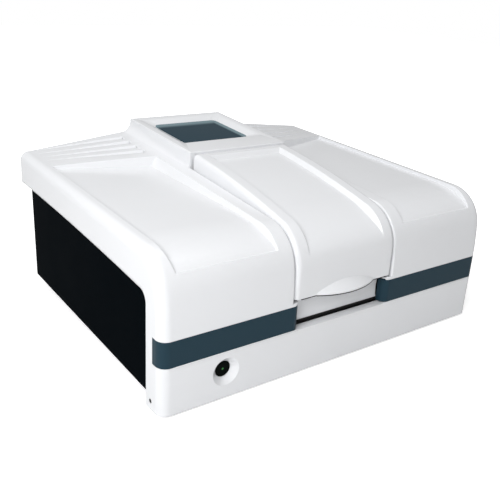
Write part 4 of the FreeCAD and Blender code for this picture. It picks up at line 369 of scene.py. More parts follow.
def moulded_plastic(name, colour, roughness, grain, coat=0.0, bump=0.05, edge=0.0, ior=1.49):
    """Injection-moulded plastic: faint mottling, uneven gloss and a fine surface grain."""
    material, nodes, links, shader = new_material(name)
    vector = coordinates(nodes, links)
    cloudy = noise(nodes, links, vector, scale=5.0, detail=4.0, rough=0.6)
    mottle(nodes, links, shader, cloudy, colour, 0.975, 1.02)
    patch = noise(nodes, links, vector, scale=18.0, detail=5.0, rough=0.65)
    vary_gloss(nodes, links, shader, patch, roughness * 0.94, roughness * 1.06)
    fine = noise(nodes, links, vector, scale=1.0 / grain, detail=2.0, rough=0.5)
    raise_surface(nodes, links, shader, fine, bump, grain * 0.06, edge)
    shader.inputs["IOR"].default_value = ior
    shader.inputs["Coat Weight"].default_value = coat
    shader.inputs["Coat Roughness"].default_value = 0.12
    return material


def window_film(name, colour, rim, corner):
    """Tinted display cover with a painted reflection: its back and right edges run paler."""
    material, nodes, links, shader = new_material(name)
    axes = axes_of(nodes, links)
    # Painted reflection: towards the back and right edges the tone runs to the paler rim
    back = ramp(nodes, links, axes.outputs["Y"], [corner.y - inset for inset in BACK_REFLECTION_RIM])
    side = ramp(nodes, links, axes.outputs["X"], [corner.x - inset for inset in SIDE_REFLECTION_RIM])
    tone = blend_colours(nodes, links, combine(nodes, links, "MAXIMUM", back, side), colour, rim)
    links.new(tone, shader.inputs["Base Color"])
    patch = noise(nodes, links, coordinates(nodes, links), scale=30.0, detail=3.0, rough=0.5)
    vary_gloss(nodes, links, shader, patch, 0.10, 0.14)
    shader.inputs["IOR"].default_value = 1.10
    return material


def powder_coat(name, colour):
    """Sheet metal with a fine orange-peel powder coat."""
    material, nodes, links, shader = new_material(name)
    vector = coordinates(nodes, links)
    cloudy = noise(nodes, links, vector, scale=3.0, detail=3.0, rough=0.6)
    mottle(nodes, links, shader, cloudy, colour, 0.8, 1.25)
    patch = noise(nodes, links, vector, scale=9.0, detail=4.0, rough=0.6)
    vary_gloss(nodes, links, shader, patch, 0.36, 0.46)
    peel = noise(nodes, links, vector, scale=900.0, detail=2.0, rough=0.5)
    raise_surface(nodes, links, shader, peel, 0.18, 0.0001)
    shader.inputs["IOR"].default_value = 1.025
    return material


def brushed_metal(name, colour, along, roughness=0.3):
    """Metal brushed along one axis."""
    material, nodes, links, shader = new_material(name)
    scale = [260.0, 260.0, 260.0]
    scale[along] = 6.0
    vector = coordinates(nodes, links, tuple(scale))
    streak = noise(nodes, links, vector, scale=1.0, detail=3.0, rough=0.6)
    mottle(nodes, links, shader, streak, colour, 0.88, 1.08)
    vary_gloss(nodes, links, shader, streak, roughness * 0.8, roughness * 1.3)
    raise_surface(nodes, links, shader, streak, 0.12, 0.00005)
    shader.inputs["Metallic"].default_value = 1.0
    return material


def spangled_zinc(name, colour):
    """Zinc-plated sheet with its crystal pattern."""
    material, nodes, links, shader = new_material(name)
    vector = coordinates(nodes, links)
    crystals = nodes.new("ShaderNodeTexVoronoi")
    crystals.inputs["Scale"].default_value = 90.0
    links.new(vector, crystals.inputs["Vector"])
    grain = crystals.outputs["Color"]
    mottle(nodes, links, shader, grain, colour, 0.82, 1.1)
    vary_gloss(nodes, links, shader, crystals.outputs["Distance"], 0.3, 0.46)
    shader.inputs["Metallic"].default_value = 1.0
    return material


def cast_metal(name, colour):
    """Sand-cast alloy with a rough skin."""
    material, nodes, links, shader = new_material(name)
    vector = coordinates(nodes, links)
    skin = noise(nodes, links, vector, scale=420.0, detail=5.0, rough=0.7)
    mottle(nodes, links, shader, skin, colour, 0.8, 1.1)
    vary_gloss(nodes, links, shader, skin, 0.4, 0.6)
    raise_surface(nodes, links, shader, skin, 0.3, 0.0002)
    shader.inputs["Metallic"].default_value = 1.0
    return material


def anodised(name, colour):
    """Matt black anodised alloy."""
    material, nodes, links, shader = new_material(name)
    vector = coordinates(nodes, links)
    blast = noise(nodes, links, vector, scale=1500.0, detail=2.0, rough=0.5)
    cloudy = noise(nodes, links, vector, scale=14.0, detail=3.0, rough=0.6)
    mottle(nodes, links, shader, cloudy, colour, 0.8, 1.3)
    vary_gloss(nodes, links, shader, cloudy, 0.38, 0.5)
    raise_surface(nodes, links, shader, blast, 0.25, 0.00008)
    shader.inputs["Metallic"].default_value = 0.6
    return material


def foam_rubber(name, colour, pore):
    """Rubber or closed foam with its pores."""
    material, nodes, links, shader = new_material(name)
    vector = coordinates(nodes, links)
    pores = nodes.new("ShaderNodeTexVoronoi")
    pores.inputs["Scale"].default_value = 1.0 / pore
    links.new(vector, pores.inputs["Vector"])
    mottle(nodes, links, shader, pores.outputs["Distance"], colour, 0.6, 1.4)
    raise_surface(nodes, links, shader, pores.outputs["Distance"], 0.4, pore * 0.3)
    shader.inputs["Roughness"].default_value = 0.82
    shader.inputs["Specular IOR Level"].default_value = 0.3
    return material


def clear_quartz(name, tint):
    """Polished quartz."""
    material, nodes, links, shader = new_material(name)
    vector = coordinates(nodes, links)
    smear = noise(nodes, links, vector, scale=60.0, detail=3.0, rough=0.6)
    vary_gloss(nodes, links, shader, smear, 0.01, 0.06)
    shader.inputs["Base Color"].default_value = (*tint, 1.0)
    shader.inputs["Transmission Weight"].default_value = 0.95
    shader.inputs["IOR"].default_value = 1.46
    return material


def mirror_coating(name):
    """Front-coated mirror, very slightly uneven."""
    material, nodes, links, shader = new_material(name)
    vector = coordinates(nodes, links)
    haze = noise(nodes, links, vector, scale=80.0, detail=3.0, rough=0.6)
    vary_gloss(nodes, links, shader, haze, 0.02, 0.07)
    shader.inputs["Base Color"].default_value = (*MIRROR, 1.0)
    shader.inputs["Metallic"].default_value = 1.0
    return material


def bare_ceramic(name):
    """Unglazed ceramic."""
    material, nodes, links, shader = new_material(name)
    vector = coordinates(nodes, links)
    speckle = noise(nodes, links, vector, scale=700.0, detail=4.0, rough=0.7)
    tone = blend_colours(nodes, links, speckle, CERAMIC_DARK, CERAMIC_LIGHT)
    links.new(tone, shader.inputs["Base Color"])
    raise_surface(nodes, links, shader, speckle, 0.2, 0.0001)
    shader.inputs["Roughness"].default_value = 0.7
    return material


def circuit_board(name):
    """Green solder resist over a pattern of tracks."""
    material, nodes, links, shader = new_material(name)
    vector = coordinates(nodes, links)
    tracks = nodes.new("ShaderNodeTexBrick")
    tracks.inputs["Scale"].default_value = 90.0
    tracks.inputs["Mortar Size"].default_value = 0.03
    tracks.inputs["Color1"].default_value = (*RESIST_DARK, 1.0)
    tracks.inputs["Color2"].default_value = (*RESIST_LIGHT, 1.0)
    tracks.inputs["Mortar"].default_value = (*TRACK, 1.0)
    links.new(vector, tracks.inputs["Vector"])
    links.new(tracks.outputs["Color"], shader.inputs["Base Color"])
    raise_surface(nodes, links, shader, tracks.outputs["Fac"], 0.3, 0.00006)
    shader.inputs["Roughness"].default_value = 0.34
    return material


def lens_plastic(name, colour):
    """Tinted lens that glows faintly."""
    material, nodes, links, shader = new_material(name)
    vector = coordinates(nodes, links)
    haze = noise(nodes, links, vector, scale=400.0, detail=2.0, rough=0.5)
    mottle(nodes, links, shader, haze, colour, 0.85, 1.15)
    shader.inputs["Roughness"].default_value = 0.2
    shader.inputs["Emission Color"].default_value = (*colour, 1.0)
    shader.inputs["Emission Strength"].default_value = 0.15
    return material


# Mesh helpers

def soft_edges_tree():
    """Geometry nodes that shade faces smooth and keep edges sharper than an angle."""
    tree = bpy.data.node_groups.new("soft edges", "GeometryNodeTree")
    tree.interface.new_socket("Geometry", in_out="INPUT", socket_type="NodeSocketGeometry")
    angle = tree.interface.new_socket("Angle", in_out="INPUT", socket_type="NodeSocketFloat")
    angle.subtype = "ANGLE"
    angle.default_value = math.radians(CREASE_DEG)
    tree.interface.new_socket("Geometry", in_out="OUTPUT", socket_type="NodeSocketGeometry")
    nodes = tree.nodes
    links = tree.links
    start = nodes.new("NodeGroupInput")
    end = nodes.new("NodeGroupOutput")
    faces = nodes.new("GeometryNodeSetShadeSmooth")
    faces.domain = "FACE"
    edges = nodes.new("GeometryNodeSetShadeSmooth")
    edges.domain = "EDGE"
    turn = nodes.new("GeometryNodeInputMeshEdgeAngle")
    compare = nodes.new("FunctionNodeCompare")
    compare.operation = "LESS_EQUAL"
    links.new(start.outputs["Geometry"], faces.inputs["Geometry"])
    links.new(faces.outputs["Geometry"], edges.inputs["Geometry"])
    links.new(turn.outputs["Unsigned Angle"], compare.inputs["A"])
    links.new(start.outputs["Angle"], compare.inputs["B"])
    links.new(compare.outputs["Result"], edges.inputs["Shade Smooth"])
    links.new(edges.outputs["Geometry"], end.inputs["Geometry"])
    return tree


def socket_id(tree, name):
    """Identifier of a tree's input."""
    for item in tree.interface.items_tree:
        if item.item_type == "SOCKET" and item.in_out == "INPUT" and item.name == name:
            return item.identifier
    raise KeyError(name)


def smooth_node(obj):
    """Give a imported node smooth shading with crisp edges, by modifiers alone."""
    weld = obj.modifiers.new("join", "WELD")
    weld.merge_threshold = JOIN_GAP
    tree = bpy.data.node_groups.get("soft edges") or soft_edges_tree()
    soft = obj.modifiers.new("soft edges", "NODES")
    soft.node_group = tree
    soft[socket_id(tree, "Angle")] = math.radians(CREASE_DEG)
    normals = obj.modifiers.new("normals", "WEIGHTED_NORMAL")
    normals.keep_sharp = True
    normals.weight = FACE_WEIGHT


def dress(material, names):
    """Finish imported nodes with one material."""
    for name in names:
        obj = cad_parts[name]
        if not obj.material_slots:
            obj.data.materials.append(material)
        for held in obj.material_slots:
            held.link = "OBJECT"
            held.material = material
        smooth_node(obj)


def as_object(name, mesh, material, body):
    """Finished mesh as a piece that rides on a body."""
    obj = bpy.data.objects.new(name, mesh)
    bpy.context.scene.collection.objects.link(obj)
    if material is not None:
        mesh.materials.clear()
        mesh.materials.append(material)
    mesh.shade_smooth()
    mesh.set_sharp_from_angle(angle=math.radians(FITTING_CREASE_DEG))
    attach(obj, body)
    return obj


def finished(build, name):
    """Mesh from what was built, which is then freed."""
    mesh = bpy.data.meshes.new(name)
    build.to_mesh(mesh)
    build.free()
    return mesh


def turned_mesh(name, profile, segments=32):
    """Solid turned about Z from (radius, height) points, closed on the axis at both ends."""
    build = bmesh.new()
    rings = []
    for radius, height in profile:
        ring = []
        for index in range(segments):
            turn = 2.0 * math.pi * index / segments
            ring.append(build.verts.new((radius * math.cos(turn), radius * math.sin(turn), height)))
        rings.append(ring)
    for lower, upper in zip(rings, rings[1:]):
        for index in range(segments):
            follow = (index + 1) % segments
            build.faces.new((lower[index], lower[follow], upper[follow], upper[index]))
    for ring, height in ((rings[0], profile[0][1]), (rings[-1], profile[-1][1])):
        centre = build.verts.new((0.0, 0.0, height))
        for index in range(segments):
            build.faces.new((centre, ring[(index + 1) % segments], ring[index]))
    bmesh.ops.recalc_face_normals(build, faces=build.faces)
    return finished(build, name)


def bevelled_block(name, low, high, bevel, segments=3):
    """Block between two corners with round edges."""
    build = bmesh.new()
    bmesh.ops.create_cube(build, size=1.0)
    low = Vector(low)
    high = Vector(high)
    size = high - low
    for vertex in build.verts:
        vertex.co = Vector((vertex.co[axis] * size[axis] for axis in range(3))) + (low + high) / 2.0
    bmesh.ops.bevel(build, geom=build.edges[:], offset=bevel, segments=segments,
                    affect="EDGES", profile=0.5)
    bmesh.ops.recalc_face_normals(build, faces=build.faces)
    return finished(build, name)


def cross_screw_mesh(radius, height):
    """Pan head with a cross recess, standing on z = 0."""
    mesh = turned_mesh("pan head", [
        (radius, 0.0), (radius, height * 0.35), (radius * 0.93, height * 0.68),
        (radius * 0.74, height * 0.9), (radius * 0.4, height)], 24)
    build = bmesh.new()
    for turn in (0.0, math.pi / 2.0):
        spin = Matrix.Rotation(turn, 4, "Z")
        size = Matrix.Diagonal((radius, radius * 0.26, height * 1.1, 1.0))
        place = Matrix.Translation((0.0, 0.0, height)) @ spin @ size
        bmesh.ops.create_cube(build, size=1.0, matrix=place)
    return carved(mesh, finished(build, "cross"))


def carved(mesh, cutter):
    """A mesh with another one cut out of it."""
    host = bpy.data.objects.new("carved", mesh)
    tool = bpy.data.objects.new("cutter", cutter)
    for obj in (host, tool):
        bpy.context.scene.collection.objects.link(obj)
    cut = host.modifiers.new("cut", "BOOLEAN")
    cut.operation = "DIFFERENCE"
    cut.solver = "EXACT"
    cut.use_self = True
    cut.object = tool
    bpy.context.view_layer.update()
    seen = host.evaluated_get(bpy.context.evaluated_depsgraph_get())
    result = bpy.data.meshes.new_from_object(seen)
    bpy.data.objects.remove(host)
    bpy.data.objects.remove(tool)
    return result


# Geometry node trees for what repeats

def stand_on_points(tree, start, points, piece, turn):
    """Stand a piece on points, turned, and hand the lot out in the tree's finish."""
    nodes = tree.nodes
    links = tree.links
    stand = nodes.new("GeometryNodeInstanceOnPoints")
    realise = nodes.new("GeometryNodeRealizeInstances")
    finish = nodes.new("GeometryNodeSetMaterial")
    end = nodes.new("NodeGroupOutput")
    links.new(points, stand.inputs["Points"])
    links.new(piece, stand.inputs["Instance"])
    links.new(turn, stand.inputs["Rotation"])
    links.new(stand.outputs["Instances"], realise.inputs["Geometry"])
    links.new(realise.outputs["Geometry"], finish.inputs["Geometry"])
    links.new(start.outputs["Finish"], finish.inputs["Material"])
    links.new(finish.outputs["Geometry"], end.inputs["Geometry"])
    return stand


def repeat_tree():
    """One piece repeated on points, each turned by the point's own rotation."""
    tree = bpy.data.node_groups.new("repeat piece", "GeometryNodeTree")
    tree.interface.new_socket("Points", in_out="INPUT", socket_type="NodeSocketGeometry")
    tree.interface.new_socket("Piece", in_out="INPUT", socket_type="NodeSocketObject")
    size = tree.interface.new_socket("Size", in_out="INPUT", socket_type="NodeSocketFloat")
    size.default_value = 1.0
    tree.interface.new_socket("Finish", in_out="INPUT", socket_type="NodeSocketMaterial")
    tree.interface.new_socket("Geometry", in_out="OUTPUT", socket_type="NodeSocketGeometry")
    nodes = tree.nodes
    links = tree.links
    start = nodes.new("NodeGroupInput")
    piece = nodes.new("GeometryNodeObjectInfo")
    piece.transform_space = "ORIGINAL"
    turn = nodes.new("GeometryNodeInputNamedAttribute")
    turn.data_type = "FLOAT_VECTOR"
    turn.inputs["Name"].default_value = "turn"
    links.new(start.outputs["Piece"], piece.inputs["Object"])
    stand = stand_on_points(tree, start, start.outputs["Points"], piece.outputs["Geometry"],
                            turn.outputs["Attribute"])
    links.new(start.outputs["Size"], stand.inputs["Scale"])
    return tree


def knurl_tree():
    """Ridges that stand round an upright cylinder."""
    tree = bpy.data.node_groups.new("knurled rim", "GeometryNodeTree")
    count = tree.interface.new_socket("Count", in_out="INPUT", socket_type="NodeSocketInt")
    count.default_value = 32
    for name, value in (("Radius", 0.008), ("Height", 0.008), ("Ridge", 0.0008)):
        item = tree.interface.new_socket(name, in_out="INPUT", socket_type="NodeSocketFloat")
        item.default_value = value
    tree.interface.new_socket("Finish", in_out="INPUT", socket_type="NodeSocketMaterial")
    tree.interface.new_socket("Geometry", in_out="OUTPUT", socket_type="NodeSocketGeometry")
    nodes = tree.nodes
    links = tree.links
    start = nodes.new("NodeGroupInput")
    circle = nodes.new("GeometryNodeMeshCircle")
    ridge = nodes.new("GeometryNodeMeshCube")
    size = nodes.new("ShaderNodeCombineXYZ")
    turn = nodes.new("ShaderNodeCombineXYZ")
    index = nodes.new("GeometryNodeInputIndex")
    step = nodes.new("ShaderNodeMath")
    step.operation = "DIVIDE"
    step.inputs[0].default_value = 2.0 * math.pi
    angle = nodes.new("ShaderNodeMath")
    angle.operation = "MULTIPLY"
    links.new(start.outputs["Count"], circle.inputs["Vertices"])
    links.new(start.outputs["Radius"], circle.inputs["Radius"])
    links.new(start.outputs["Ridge"], size.inputs["X"])
    links.new(start.outputs["Ridge"], size.inputs["Y"])
    links.new(start.outputs["Height"], size.inputs["Z"])
    links.new(size.outputs["Vector"], ridge.inputs["Size"])
    links.new(start.outputs["Count"], step.inputs[1])
    links.new(index.outputs["Index"], angle.inputs[0])
    links.new(step.outputs["Value"], angle.inputs[1])
    links.new(angle.outputs["Value"], turn.inputs["Z"])
    stand_on_points(tree, start, circle.outputs["Mesh"], ridge.outputs["Mesh"],
                    turn.outputs["Vector"])
    return tree


def grown(tree, name, inputs, base=None):
    """Mesh that a tree makes with the given inputs."""
    host = bpy.data.objects.new(name + " host", base or bpy.data.meshes.new(name + " base"))
    bpy.context.scene.collection.objects.link(host)
    grow = host.modifiers.new("grow", "NODES")
    grow.node_group = tree
    for key, value in inputs.items():
        grow[socket_id(tree, key)] = value
    host.update_tag()
    bpy.context.view_layer.update()
    seen = host.evaluated_get(bpy.context.evaluated_depsgraph_get())
    mesh = bpy.data.meshes.new_from_object(seen)
    mesh.name = name
    host.modifiers.remove(grow)
    bpy.data.objects.remove(host)
    return mesh


def repeated(name, template, places, material, body, size=1.0):
    """One small mesh repeated at places, each a point and the direction that its head faces."""
    points = bpy.data.meshes.new(name + " points")
    points.from_pydata([tuple(place) for place, facing in places], [], [])
    turns = points.attributes.new("turn", "FLOAT_VECTOR", "POINT")
    for index, (place, facing) in enumerate(places):
        turns.data[index].vector = Vector(facing).to_track_quat("Z", "Y").to_euler()
    piece = bpy.data.objects.new(name + " piece", template)
    bpy.context.scene.collection.objects.link(piece)
    tree = bpy.data.node_groups.get("repeat piece") or repeat_tree()
    mesh = grown(tree, name, {"Piece": piece, "Size": size, "Finish": material}, points)
    bpy.data.objects.remove(piece)
    return as_object(name, mesh, None, body)


def moved(mesh, offset):
    """A mesh shifted as a whole."""
    mesh.transform(Matrix.Translation(Vector(offset)))
    return mesh


# Operators

class SPECTRO_OT_camera(bpy.types.Operator):
    """Place the camera where the photograph was taken from."""

    bl_idname = "spectro.camera"
    bl_label = "Camera"

    def execute(self, context):
        data = bpy.data.cameras.new("camera")
        data.sensor_width = 36.0
        data.lens = context.scene.spectro_studio.lens
        camera = bpy.data.objects.new("camera", data)
        rows = zip(CAMERA_RIGHT, CAMERA_UP, CAMERA_BACK, CAMERA_PLACE)
        camera.matrix_world = Matrix((*rows, (0.0, 0.0, 0.0, 1.0)))
        context.scene.collection.objects.link(camera)
        context.scene.camera = camera
        return {"FINISHED"}


class SPECTRO_OT_casing(bpy.types.Operator):
    """Finish the white mouldings, the slate bands and the window with its painted reflection."""

    bl_idname = "spectro.casing"
    bl_label = "Casing"

    def execute(self, context):
        look = context.scene.spectro_casing
        edge = look.edge
        white = moulded_plastic("casing white", look.white, look.gloss, look.grain, 0.2, 0.03, edge)
        slate = moulded_plastic("slate", look.slate, 0.42, look.grain, 0.0, 0.08, edge, 1.25)
        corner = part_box("tower_window")[1]
        window = window_film("window film painted reflection", look.slate, look.window_painted_reflection, corner)
        plate = moulded_plastic("recess grey", look.recess, 0.45, look.grain, 0.0, 0.1, edge, 1.3)
        dress(white, ["top_cover", "lid_shell"])
        dress(slate, ["band_left", "band_right"])
        dress(window, ["tower_window"])
        dress(plate, ["front_plate"])
        return {"FINISHED"}


class SPECTRO_OT_button(bpy.types.Operator):
    """Finish the power button and its light."""

    bl_idname = "spectro.button"
    bl_label = "Power button"

    def execute(self, context):
        look = context.scene.spectro_casing
        black = moulded_plastic("button black", look.button, 0.2, 0.0008, ior=1.1)
        dress(black, ["power_button", "power_switch"])
        dress(lens_plastic("green lens", look.light), ["power_indicator"])
        return {"FINISHED"}


class SPECTRO_OT_chassis(bpy.types.Operator):
    """Finish the sheet metal, the feet and what stands at the back."""

    bl_idname = "spectro.chassis"
    bl_label = "Chassis"

    def execute(self, context):
        look = context.scene.spectro_panels
        panels = powder_coat("panel black", look.black)
        dress(panels, ["side_panel_left", "side_panel_right", "rear_panel"])
        zinc = spangled_zinc("zinc sheet", look.metal)
        dress(zinc, ["base_pan", "lamp_housing", "lamp_cover", "power_supply"])
        steel = brushed_metal("steel", look.metal, 0)
        dress(anodised("screw black", look.side_screw), ["bezel_screws"])
        dress(steel, ["hinge_arms", "hinge_brackets", "hinge_pins", "holder_screws",
                      "cover_posts", "fan_guard", "slit_plates", "data_port"])
        rubber = foam_rubber("foot rubber", look.rubber, 0.0009)
        dress(rubber, ["rubber_feet", "bench_mounts"])
        inner = moulded_plastic("fan black", look.inner, 0.5, 0.001, bump=0.15)
        dress(inner, ["fan_frame", "fan_rotor", "mains_inlet", "fuse_drawer"])
        return {"FINISHED"}


class SPECTRO_OT_compartment(bpy.types.Operator):
    """Finish the sample compartment and what it holds."""

    bl_idname = "spectro.compartment"
    bl_label = "Sample compartment"

    def execute(self, context):
        look = context.scene.spectro_panels
        inner = moulded_plastic("inner black", look.inner, 0.55, 0.0009, bump=0.35)
        dress(inner, ["sample_compartment", "lid_liner"])
        # The same foam black also paints shade under the lid's edge and at the foot of the recess plate
        dress(foam_rubber("seal foam and painted shade", FOAM_AND_SHADE_BLACK, 0.0006), ["lid_seal"])
        black = anodised("black alloy", look.alloy)
        dress(black, ["window_rings", "holder_base", "sample_holder", "reference_holder"])
        dress(clear_quartz("quartz", QUARTZ), ["beam_windows"])
        return {"FINISHED"}


class SPECTRO_OT_optics(bpy.types.Operator):
    """Finish the bench and everything that stands on it."""

    bl_idname = "spectro.optics"
    bl_label = "Optics"

    def execute(self, context):
        look = context.scene.spectro_panels
        dress(cast_metal("cast alloy", look.casting), ["optical_bench"])
        black = bpy.data.materials["black alloy"]
        dress(black, ["monochromator_housing", "monochromator_cover", "mirror_posts", "grating_turret",
                      "filter_wheel", "chopper_wheel", "detector_housing"])
        mirror = mirror_coating("mirror coat")
        dress(mirror, ["beam_mirrors", "collimating_mirrors", "grating", "source_mirror"])
        motor = moulded_plastic("motor grey", look.motor, 0.4, 0.001, bump=0.1)
        dress(motor, ["grating_motor", "filter_motor", "chopper_motor", "source_motor",
                      "detector_tubes"])
        dress(bare_ceramic("lamp ceramic"), ["lamp_bases"])
        dress(bpy.data.materials["quartz"], ["deuterium_lamp", "tungsten_lamp"])
        dress(circuit_board("board green"), ["main_board"])
        return {"FINISHED"}


class SPECTRO_OT_fittings(bpy.types.Operator):
    """Add the rear screws, the knurls, the painted-shade bead under the lid, the ledges, the
    painted-shade strip under the recess plate and the plug pins.
    """

    bl_idname = "spectro.fittings"
    bl_label = "Fittings"

    def execute(self, context):
        look = context.scene.spectro_fittings
        steel = bpy.data.materials["steel"]
        self.rear_screws(look, steel)
        self.knurled_rims(look, steel)
        # Painted shade: a dark bead under the lid's edge and a dark strip at the foot of the recess
        # plate
        self.lid_edge_seal(look)
        self.plate_foot(look)
        self.band_beads()
        self.plug_pins(context.scene.spectro_panels)
        return {"FINISHED"}

    def rear_screws(self, look, steel):
        """Pan-head screws along the sides and the foot of the rear panel."""
        low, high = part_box("rear_panel")
        head = cross_screw_mesh(look.screw_radius, look.screw_height)
        backwards = (0, 1, 0)
        places = []
        for x in (low.x + SCREW_INSET, high.x - SCREW_INSET):
            for share in SIDE_SHARES:
                places.append(((x, high.y, low.z + share * (high.z - low.z)), backwards))
        for share in FOOT_SHARES:
            x = low.x + share * (high.x - low.x)
            places.append(((x, high.y, low.z + SCREW_INSET), backwards))
        repeated("rear_screws", head, places, steel, "body")

    def knurled_rims(self, look, steel):
        """Ridges round the two thumb screws of the holder base."""
        low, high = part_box("holder_screws")
        radius = (high.y - low.y) / 2.0
        height = (high.z - low.z) * RIDGE_RISE
        for side, x in (("left", low.x + radius), ("right", high.x - radius)):
            tree = bpy.data.node_groups.get("knurled rim") or knurl_tree()
            mesh = grown(tree, "knurl_" + side, {
                "Count": look.knurls, "Radius": radius, "Height": height,
                "Ridge": radius * RIDGE_SIDE, "Finish": steel})
            moved(mesh, (x, (low.y + high.y) / 2.0, (low.z + high.z) / 2.0))
            as_object("knurl_" + side, mesh, None, "body")

    def lid_edge_seal(self, look):
        """Dark bead under the lid's front edge, round the finger lip: painted shade for the shadow line
        there.
        """
        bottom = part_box("lid_shell")[0]
        outer = self.lip_line(look, bottom.y, LID_SHADE_INSET)
        inner = self.lip_line(look, bottom.y, LID_SHADE_INSET + LID_SHADE_WIDTH)
        build = bmesh.new()
        rows = []
        for line, height in ((outer, LID_SHADE_TOP), (outer, LID_SHADE_BOTTOM),
                             (inner, LID_SHADE_BOTTOM), (inner, LID_SHADE_TOP)):
            rows.append([build.verts.new((x, y, bottom.z + height)) for x, y in line])
        for first, second in zip(rows, rows[1:] + rows[:1]):
            for index in range(len(first) - 1):
                build.faces.new((first[index], first[index + 1], second[index + 1], second[index]))
        for end in (0, -1):
            build.faces.new([row[end] for row in rows])
        bmesh.ops.recalc_face_normals(build, faces=build.faces)
        mesh = finished(build, "lid edge painted shade")
        as_object("lid_edge_seal", mesh, bpy.data.materials["seal foam and painted shade"], "lid")

    def lip_line(self, look, front, inset):
        """Points along the lid's front edge and round its lip, set back by an inset."""
        radius = (look.lip_half ** 2 + look.lip_reach ** 2) / (2.0 * look.lip_reach)
        swing = math.asin(look.lip_half / radius)
        straight = front + look.lip_reach + inset
        line = [(-LID_SHADE_HALF, straight)]
        for index in range(LIP_STEPS + 1):
            turn = swing * (2.0 * index / LIP_STEPS - 1.0)
            line.append(((radius - inset) * math.sin(turn),
                         front + radius - (radius - inset) * math.cos(turn)))
        line.append((LID_SHADE_HALF, straight))
        return line

    def band_beads(self):
        """Narrow ledges of the casing along the lower edge of the bands."""
        white = bpy.data.materials["casing white"]
        for side in ("left", "right"):
            low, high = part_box("band_" + side)
            start = low.x + LEDGE_END if side == "left" else low.x
            stop = high.x - LEDGE_END if side == "right" else high.x
            mesh = bevelled_block("band bead", (start, low.y - LEDGE_PROUD, low.z - LEDGE_DROP),
                                  (stop, low.y + LAP, low.z + SLIP), LEDGE_ROUND, 3)
            as_object("bead_" + side, mesh, white, "body")

    def plate_foot(self, look):
        """Dark strip along the foot of the plate behind the lip, painted shade for the slot there."""
        low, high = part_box("front_plate")
        mesh = bevelled_block("plate foot painted shade", (low.x + STRIP_SIDE, low.y - STRIP_PROUD, low.z + SLIP),
                              (high.x - STRIP_SIDE, low.y + LAP, low.z + look.foot_shade_strip),
                              STRIP_ROUND, 2)
        as_object("plate_foot", mesh, bpy.data.materials["seal foam and painted shade"], "body")

    def plug_pins(self, look):
        """Brass pins of the mains socket."""
        brass = brushed_metal("brass", look.brass, 1, 0.25)
        low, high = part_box("mains_inlet")
        middle = (low + high) / 2.0
        pin = bevelled_block("pin", [-half for half in PIN_HALF], PIN_HALF, PIN_ROUND, 3)
        build = bmesh.new()
        for across, rise in PIN_PLACES:
            copy = pin.copy()
            place = (middle.x + across * MM, high.y - PIN_DEPTH, middle.z - SOCKET_DROP + rise * MM)
            build.from_mesh(moved(copy, place))
        as_object("plug_pins", finished(build, "plug pins"), brass, "body")


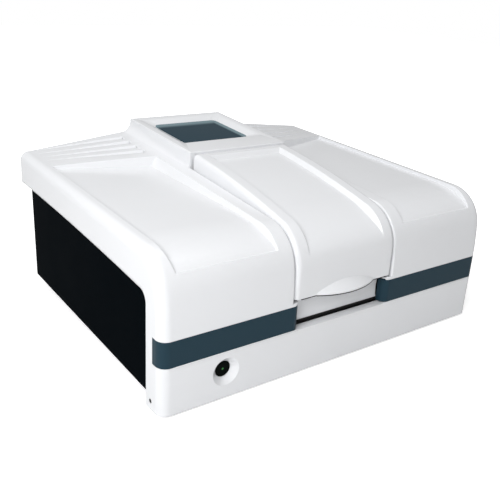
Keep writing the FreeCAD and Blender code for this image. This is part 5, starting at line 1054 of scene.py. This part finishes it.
class SPECTRO_OT_studio(bpy.types.Operator):
    """Floor, backdrop, soft lamps and the white room."""

    bl_idname = "spectro.studio"
    bl_label = "Studio"

    def execute(self, context):
        look = context.scene.spectro_studio
        context.scene.view_settings.view_transform = "Standard"
        self.floor(context)
        self.room(context, look.sky, look.mirrored)
        self.lamp(context, "key", *KEY_LAMP, look.key)
        self.lamp(context, "fill", *FILL_LAMP, look.fill)
        self.lamp(context, "overhead", *OVERHEAD_LAMP, look.overhead)
        return {"FINISHED"}

    def floor(self, context):
        """Pale floor that keeps the shadow and looks white further out; its glow is weaker near the
        instrument, a painted shade round it.
        """
        build = bmesh.new()
        bmesh.ops.create_grid(build, x_segments=1, y_segments=1, size=FLOOR_HALF)
        mesh = finished(build, "floor")
        floor = bpy.data.objects.new("floor", mesh)
        context.scene.collection.objects.link(floor)
        material, nodes, links, shader = new_material("floor white")
        shader.inputs["Base Color"].default_value = (*FLOOR, 1.0)
        shader.inputs["Roughness"].default_value = 0.9
        shader.inputs["Specular IOR Level"].default_value = 0.1
        glow = nodes.new("ShaderNodeEmission")
        place = nodes.new("ShaderNodeTexCoord")
        away = nodes.new("ShaderNodeVectorMath")
        away.operation = "LENGTH"
        links.new(place.outputs["Object"], away.inputs[0])
        # Painted shade round the instrument: the glow rises from weak near it to full further out
        lift = ramp(nodes, links, away.outputs["Value"], GLOW_REACH, GLOW_LEVELS)
        links.new(lift, glow.inputs["Strength"])
        both = nodes.new("ShaderNodeAddShader")
        pick = nodes.new("ShaderNodeMixShader")
        path = nodes.new("ShaderNodeLightPath")
        output = nodes["Material Output"]
        links.new(shader.outputs["BSDF"], both.inputs[0])
        links.new(glow.outputs["Emission"], both.inputs[1])
        links.new(path.outputs["Is Camera Ray"], pick.inputs["Fac"])
        links.new(shader.outputs["BSDF"], pick.inputs[1])
        links.new(both.outputs["Shader"], pick.inputs[2])
        links.new(pick.outputs["Shader"], output.inputs["Surface"])
        mesh.materials.append(material)

    def room(self, context, level, mirrored):
        """White to the camera and through glass, dimmer in gloss and as light."""
        world = bpy.data.worlds.new("room")
        context.scene.world = world
        world.use_nodes = True
        nodes = world.node_tree.nodes
        links = world.node_tree.links
        background = nodes["Background"]
        background.inputs["Color"].default_value = (1.0, 1.0, 1.0, 1.0)
        path = nodes.new("ShaderNodeLightPath")
        clear = combine(nodes, links, "MAXIMUM",
                        path.outputs["Is Camera Ray"], path.outputs["Is Transmission Ray"])
        glossy = nodes.new("ShaderNodeMix")
        glossy.inputs["A"].default_value = level
        glossy.inputs["B"].default_value = mirrored
        strength = nodes.new("ShaderNodeMix")
        strength.inputs["B"].default_value = 1.0
        links.new(path.outputs["Is Glossy Ray"], glossy.inputs["Factor"])
        links.new(glossy.outputs["Result"], strength.inputs["A"])
        links.new(clear, strength.inputs["Factor"])
        links.new(strength.outputs["Result"], background.inputs["Strength"])

    def lamp(self, context, name, place, target, size, power):
        """Square soft lamp."""
        data = bpy.data.lights.new(name, "AREA")
        data.shape = "SQUARE"
        data.size = size
        data.energy = power
        lamp = bpy.data.objects.new(name, data)
        lamp.location = place
        aim = Vector(target) - Vector(place)
        lamp.rotation_euler = aim.to_track_quat("-Z", "Y").to_euler()
        context.scene.collection.objects.link(lamp)


class SPECTRO_PT_panel(bpy.types.Panel):
    """Sidebar panel with each group of pieces and its settings."""

    bl_idname = "SPECTRO_PT_panel"
    bl_label = "Spectrophotometer"
    bl_space_type = "VIEW_3D"
    bl_region_type = "UI"
    bl_category = "Spectrophotometer"

    def draw(self, context):
        layout = self.layout
        for group in SETTINGS:
            settings = getattr(context.scene, group)
            box = layout.box()
            for name in settings.__annotations__:
                box.prop(settings, name)
        for operator in STEPS:
            layout.operator(operator.bl_idname)


SETTINGS = {
    "spectro_casing": CasingSettings,
    "spectro_panels": PanelSettings,
    "spectro_fittings": FittingSettings,
    "spectro_studio": StudioSettings,
}

STEPS = (
    SPECTRO_OT_camera,
    SPECTRO_OT_casing,
    SPECTRO_OT_button,
    SPECTRO_OT_chassis,
    SPECTRO_OT_compartment,
    SPECTRO_OT_optics,
    SPECTRO_OT_fittings,
    SPECTRO_OT_studio,
)


def register():
    """Add the settings, the operators and the panel to Blender."""
    for name, group in SETTINGS.items():
        bpy.utils.register_class(group)
        setattr(bpy.types.Scene, name, bpy.props.PointerProperty(type=group))
    for step in STEPS:
        bpy.utils.register_class(step)
    bpy.utils.register_class(SPECTRO_PT_panel)


def unregister():
    """Take the panel, the operators and the settings out again."""
    bpy.utils.unregister_class(SPECTRO_PT_panel)
    for step in reversed(STEPS):
        bpy.utils.unregister_class(step)
    for name, group in reversed(SETTINGS.items()):
        delattr(bpy.types.Scene, name)
        bpy.utils.unregister_class(group)


def main():
    """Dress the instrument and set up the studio."""
    register()
    for step in STEPS:
        family, action = step.bl_idname.split(".")
        getattr(getattr(bpy.ops, family), action)()


if __name__ == "__main__":
    main()
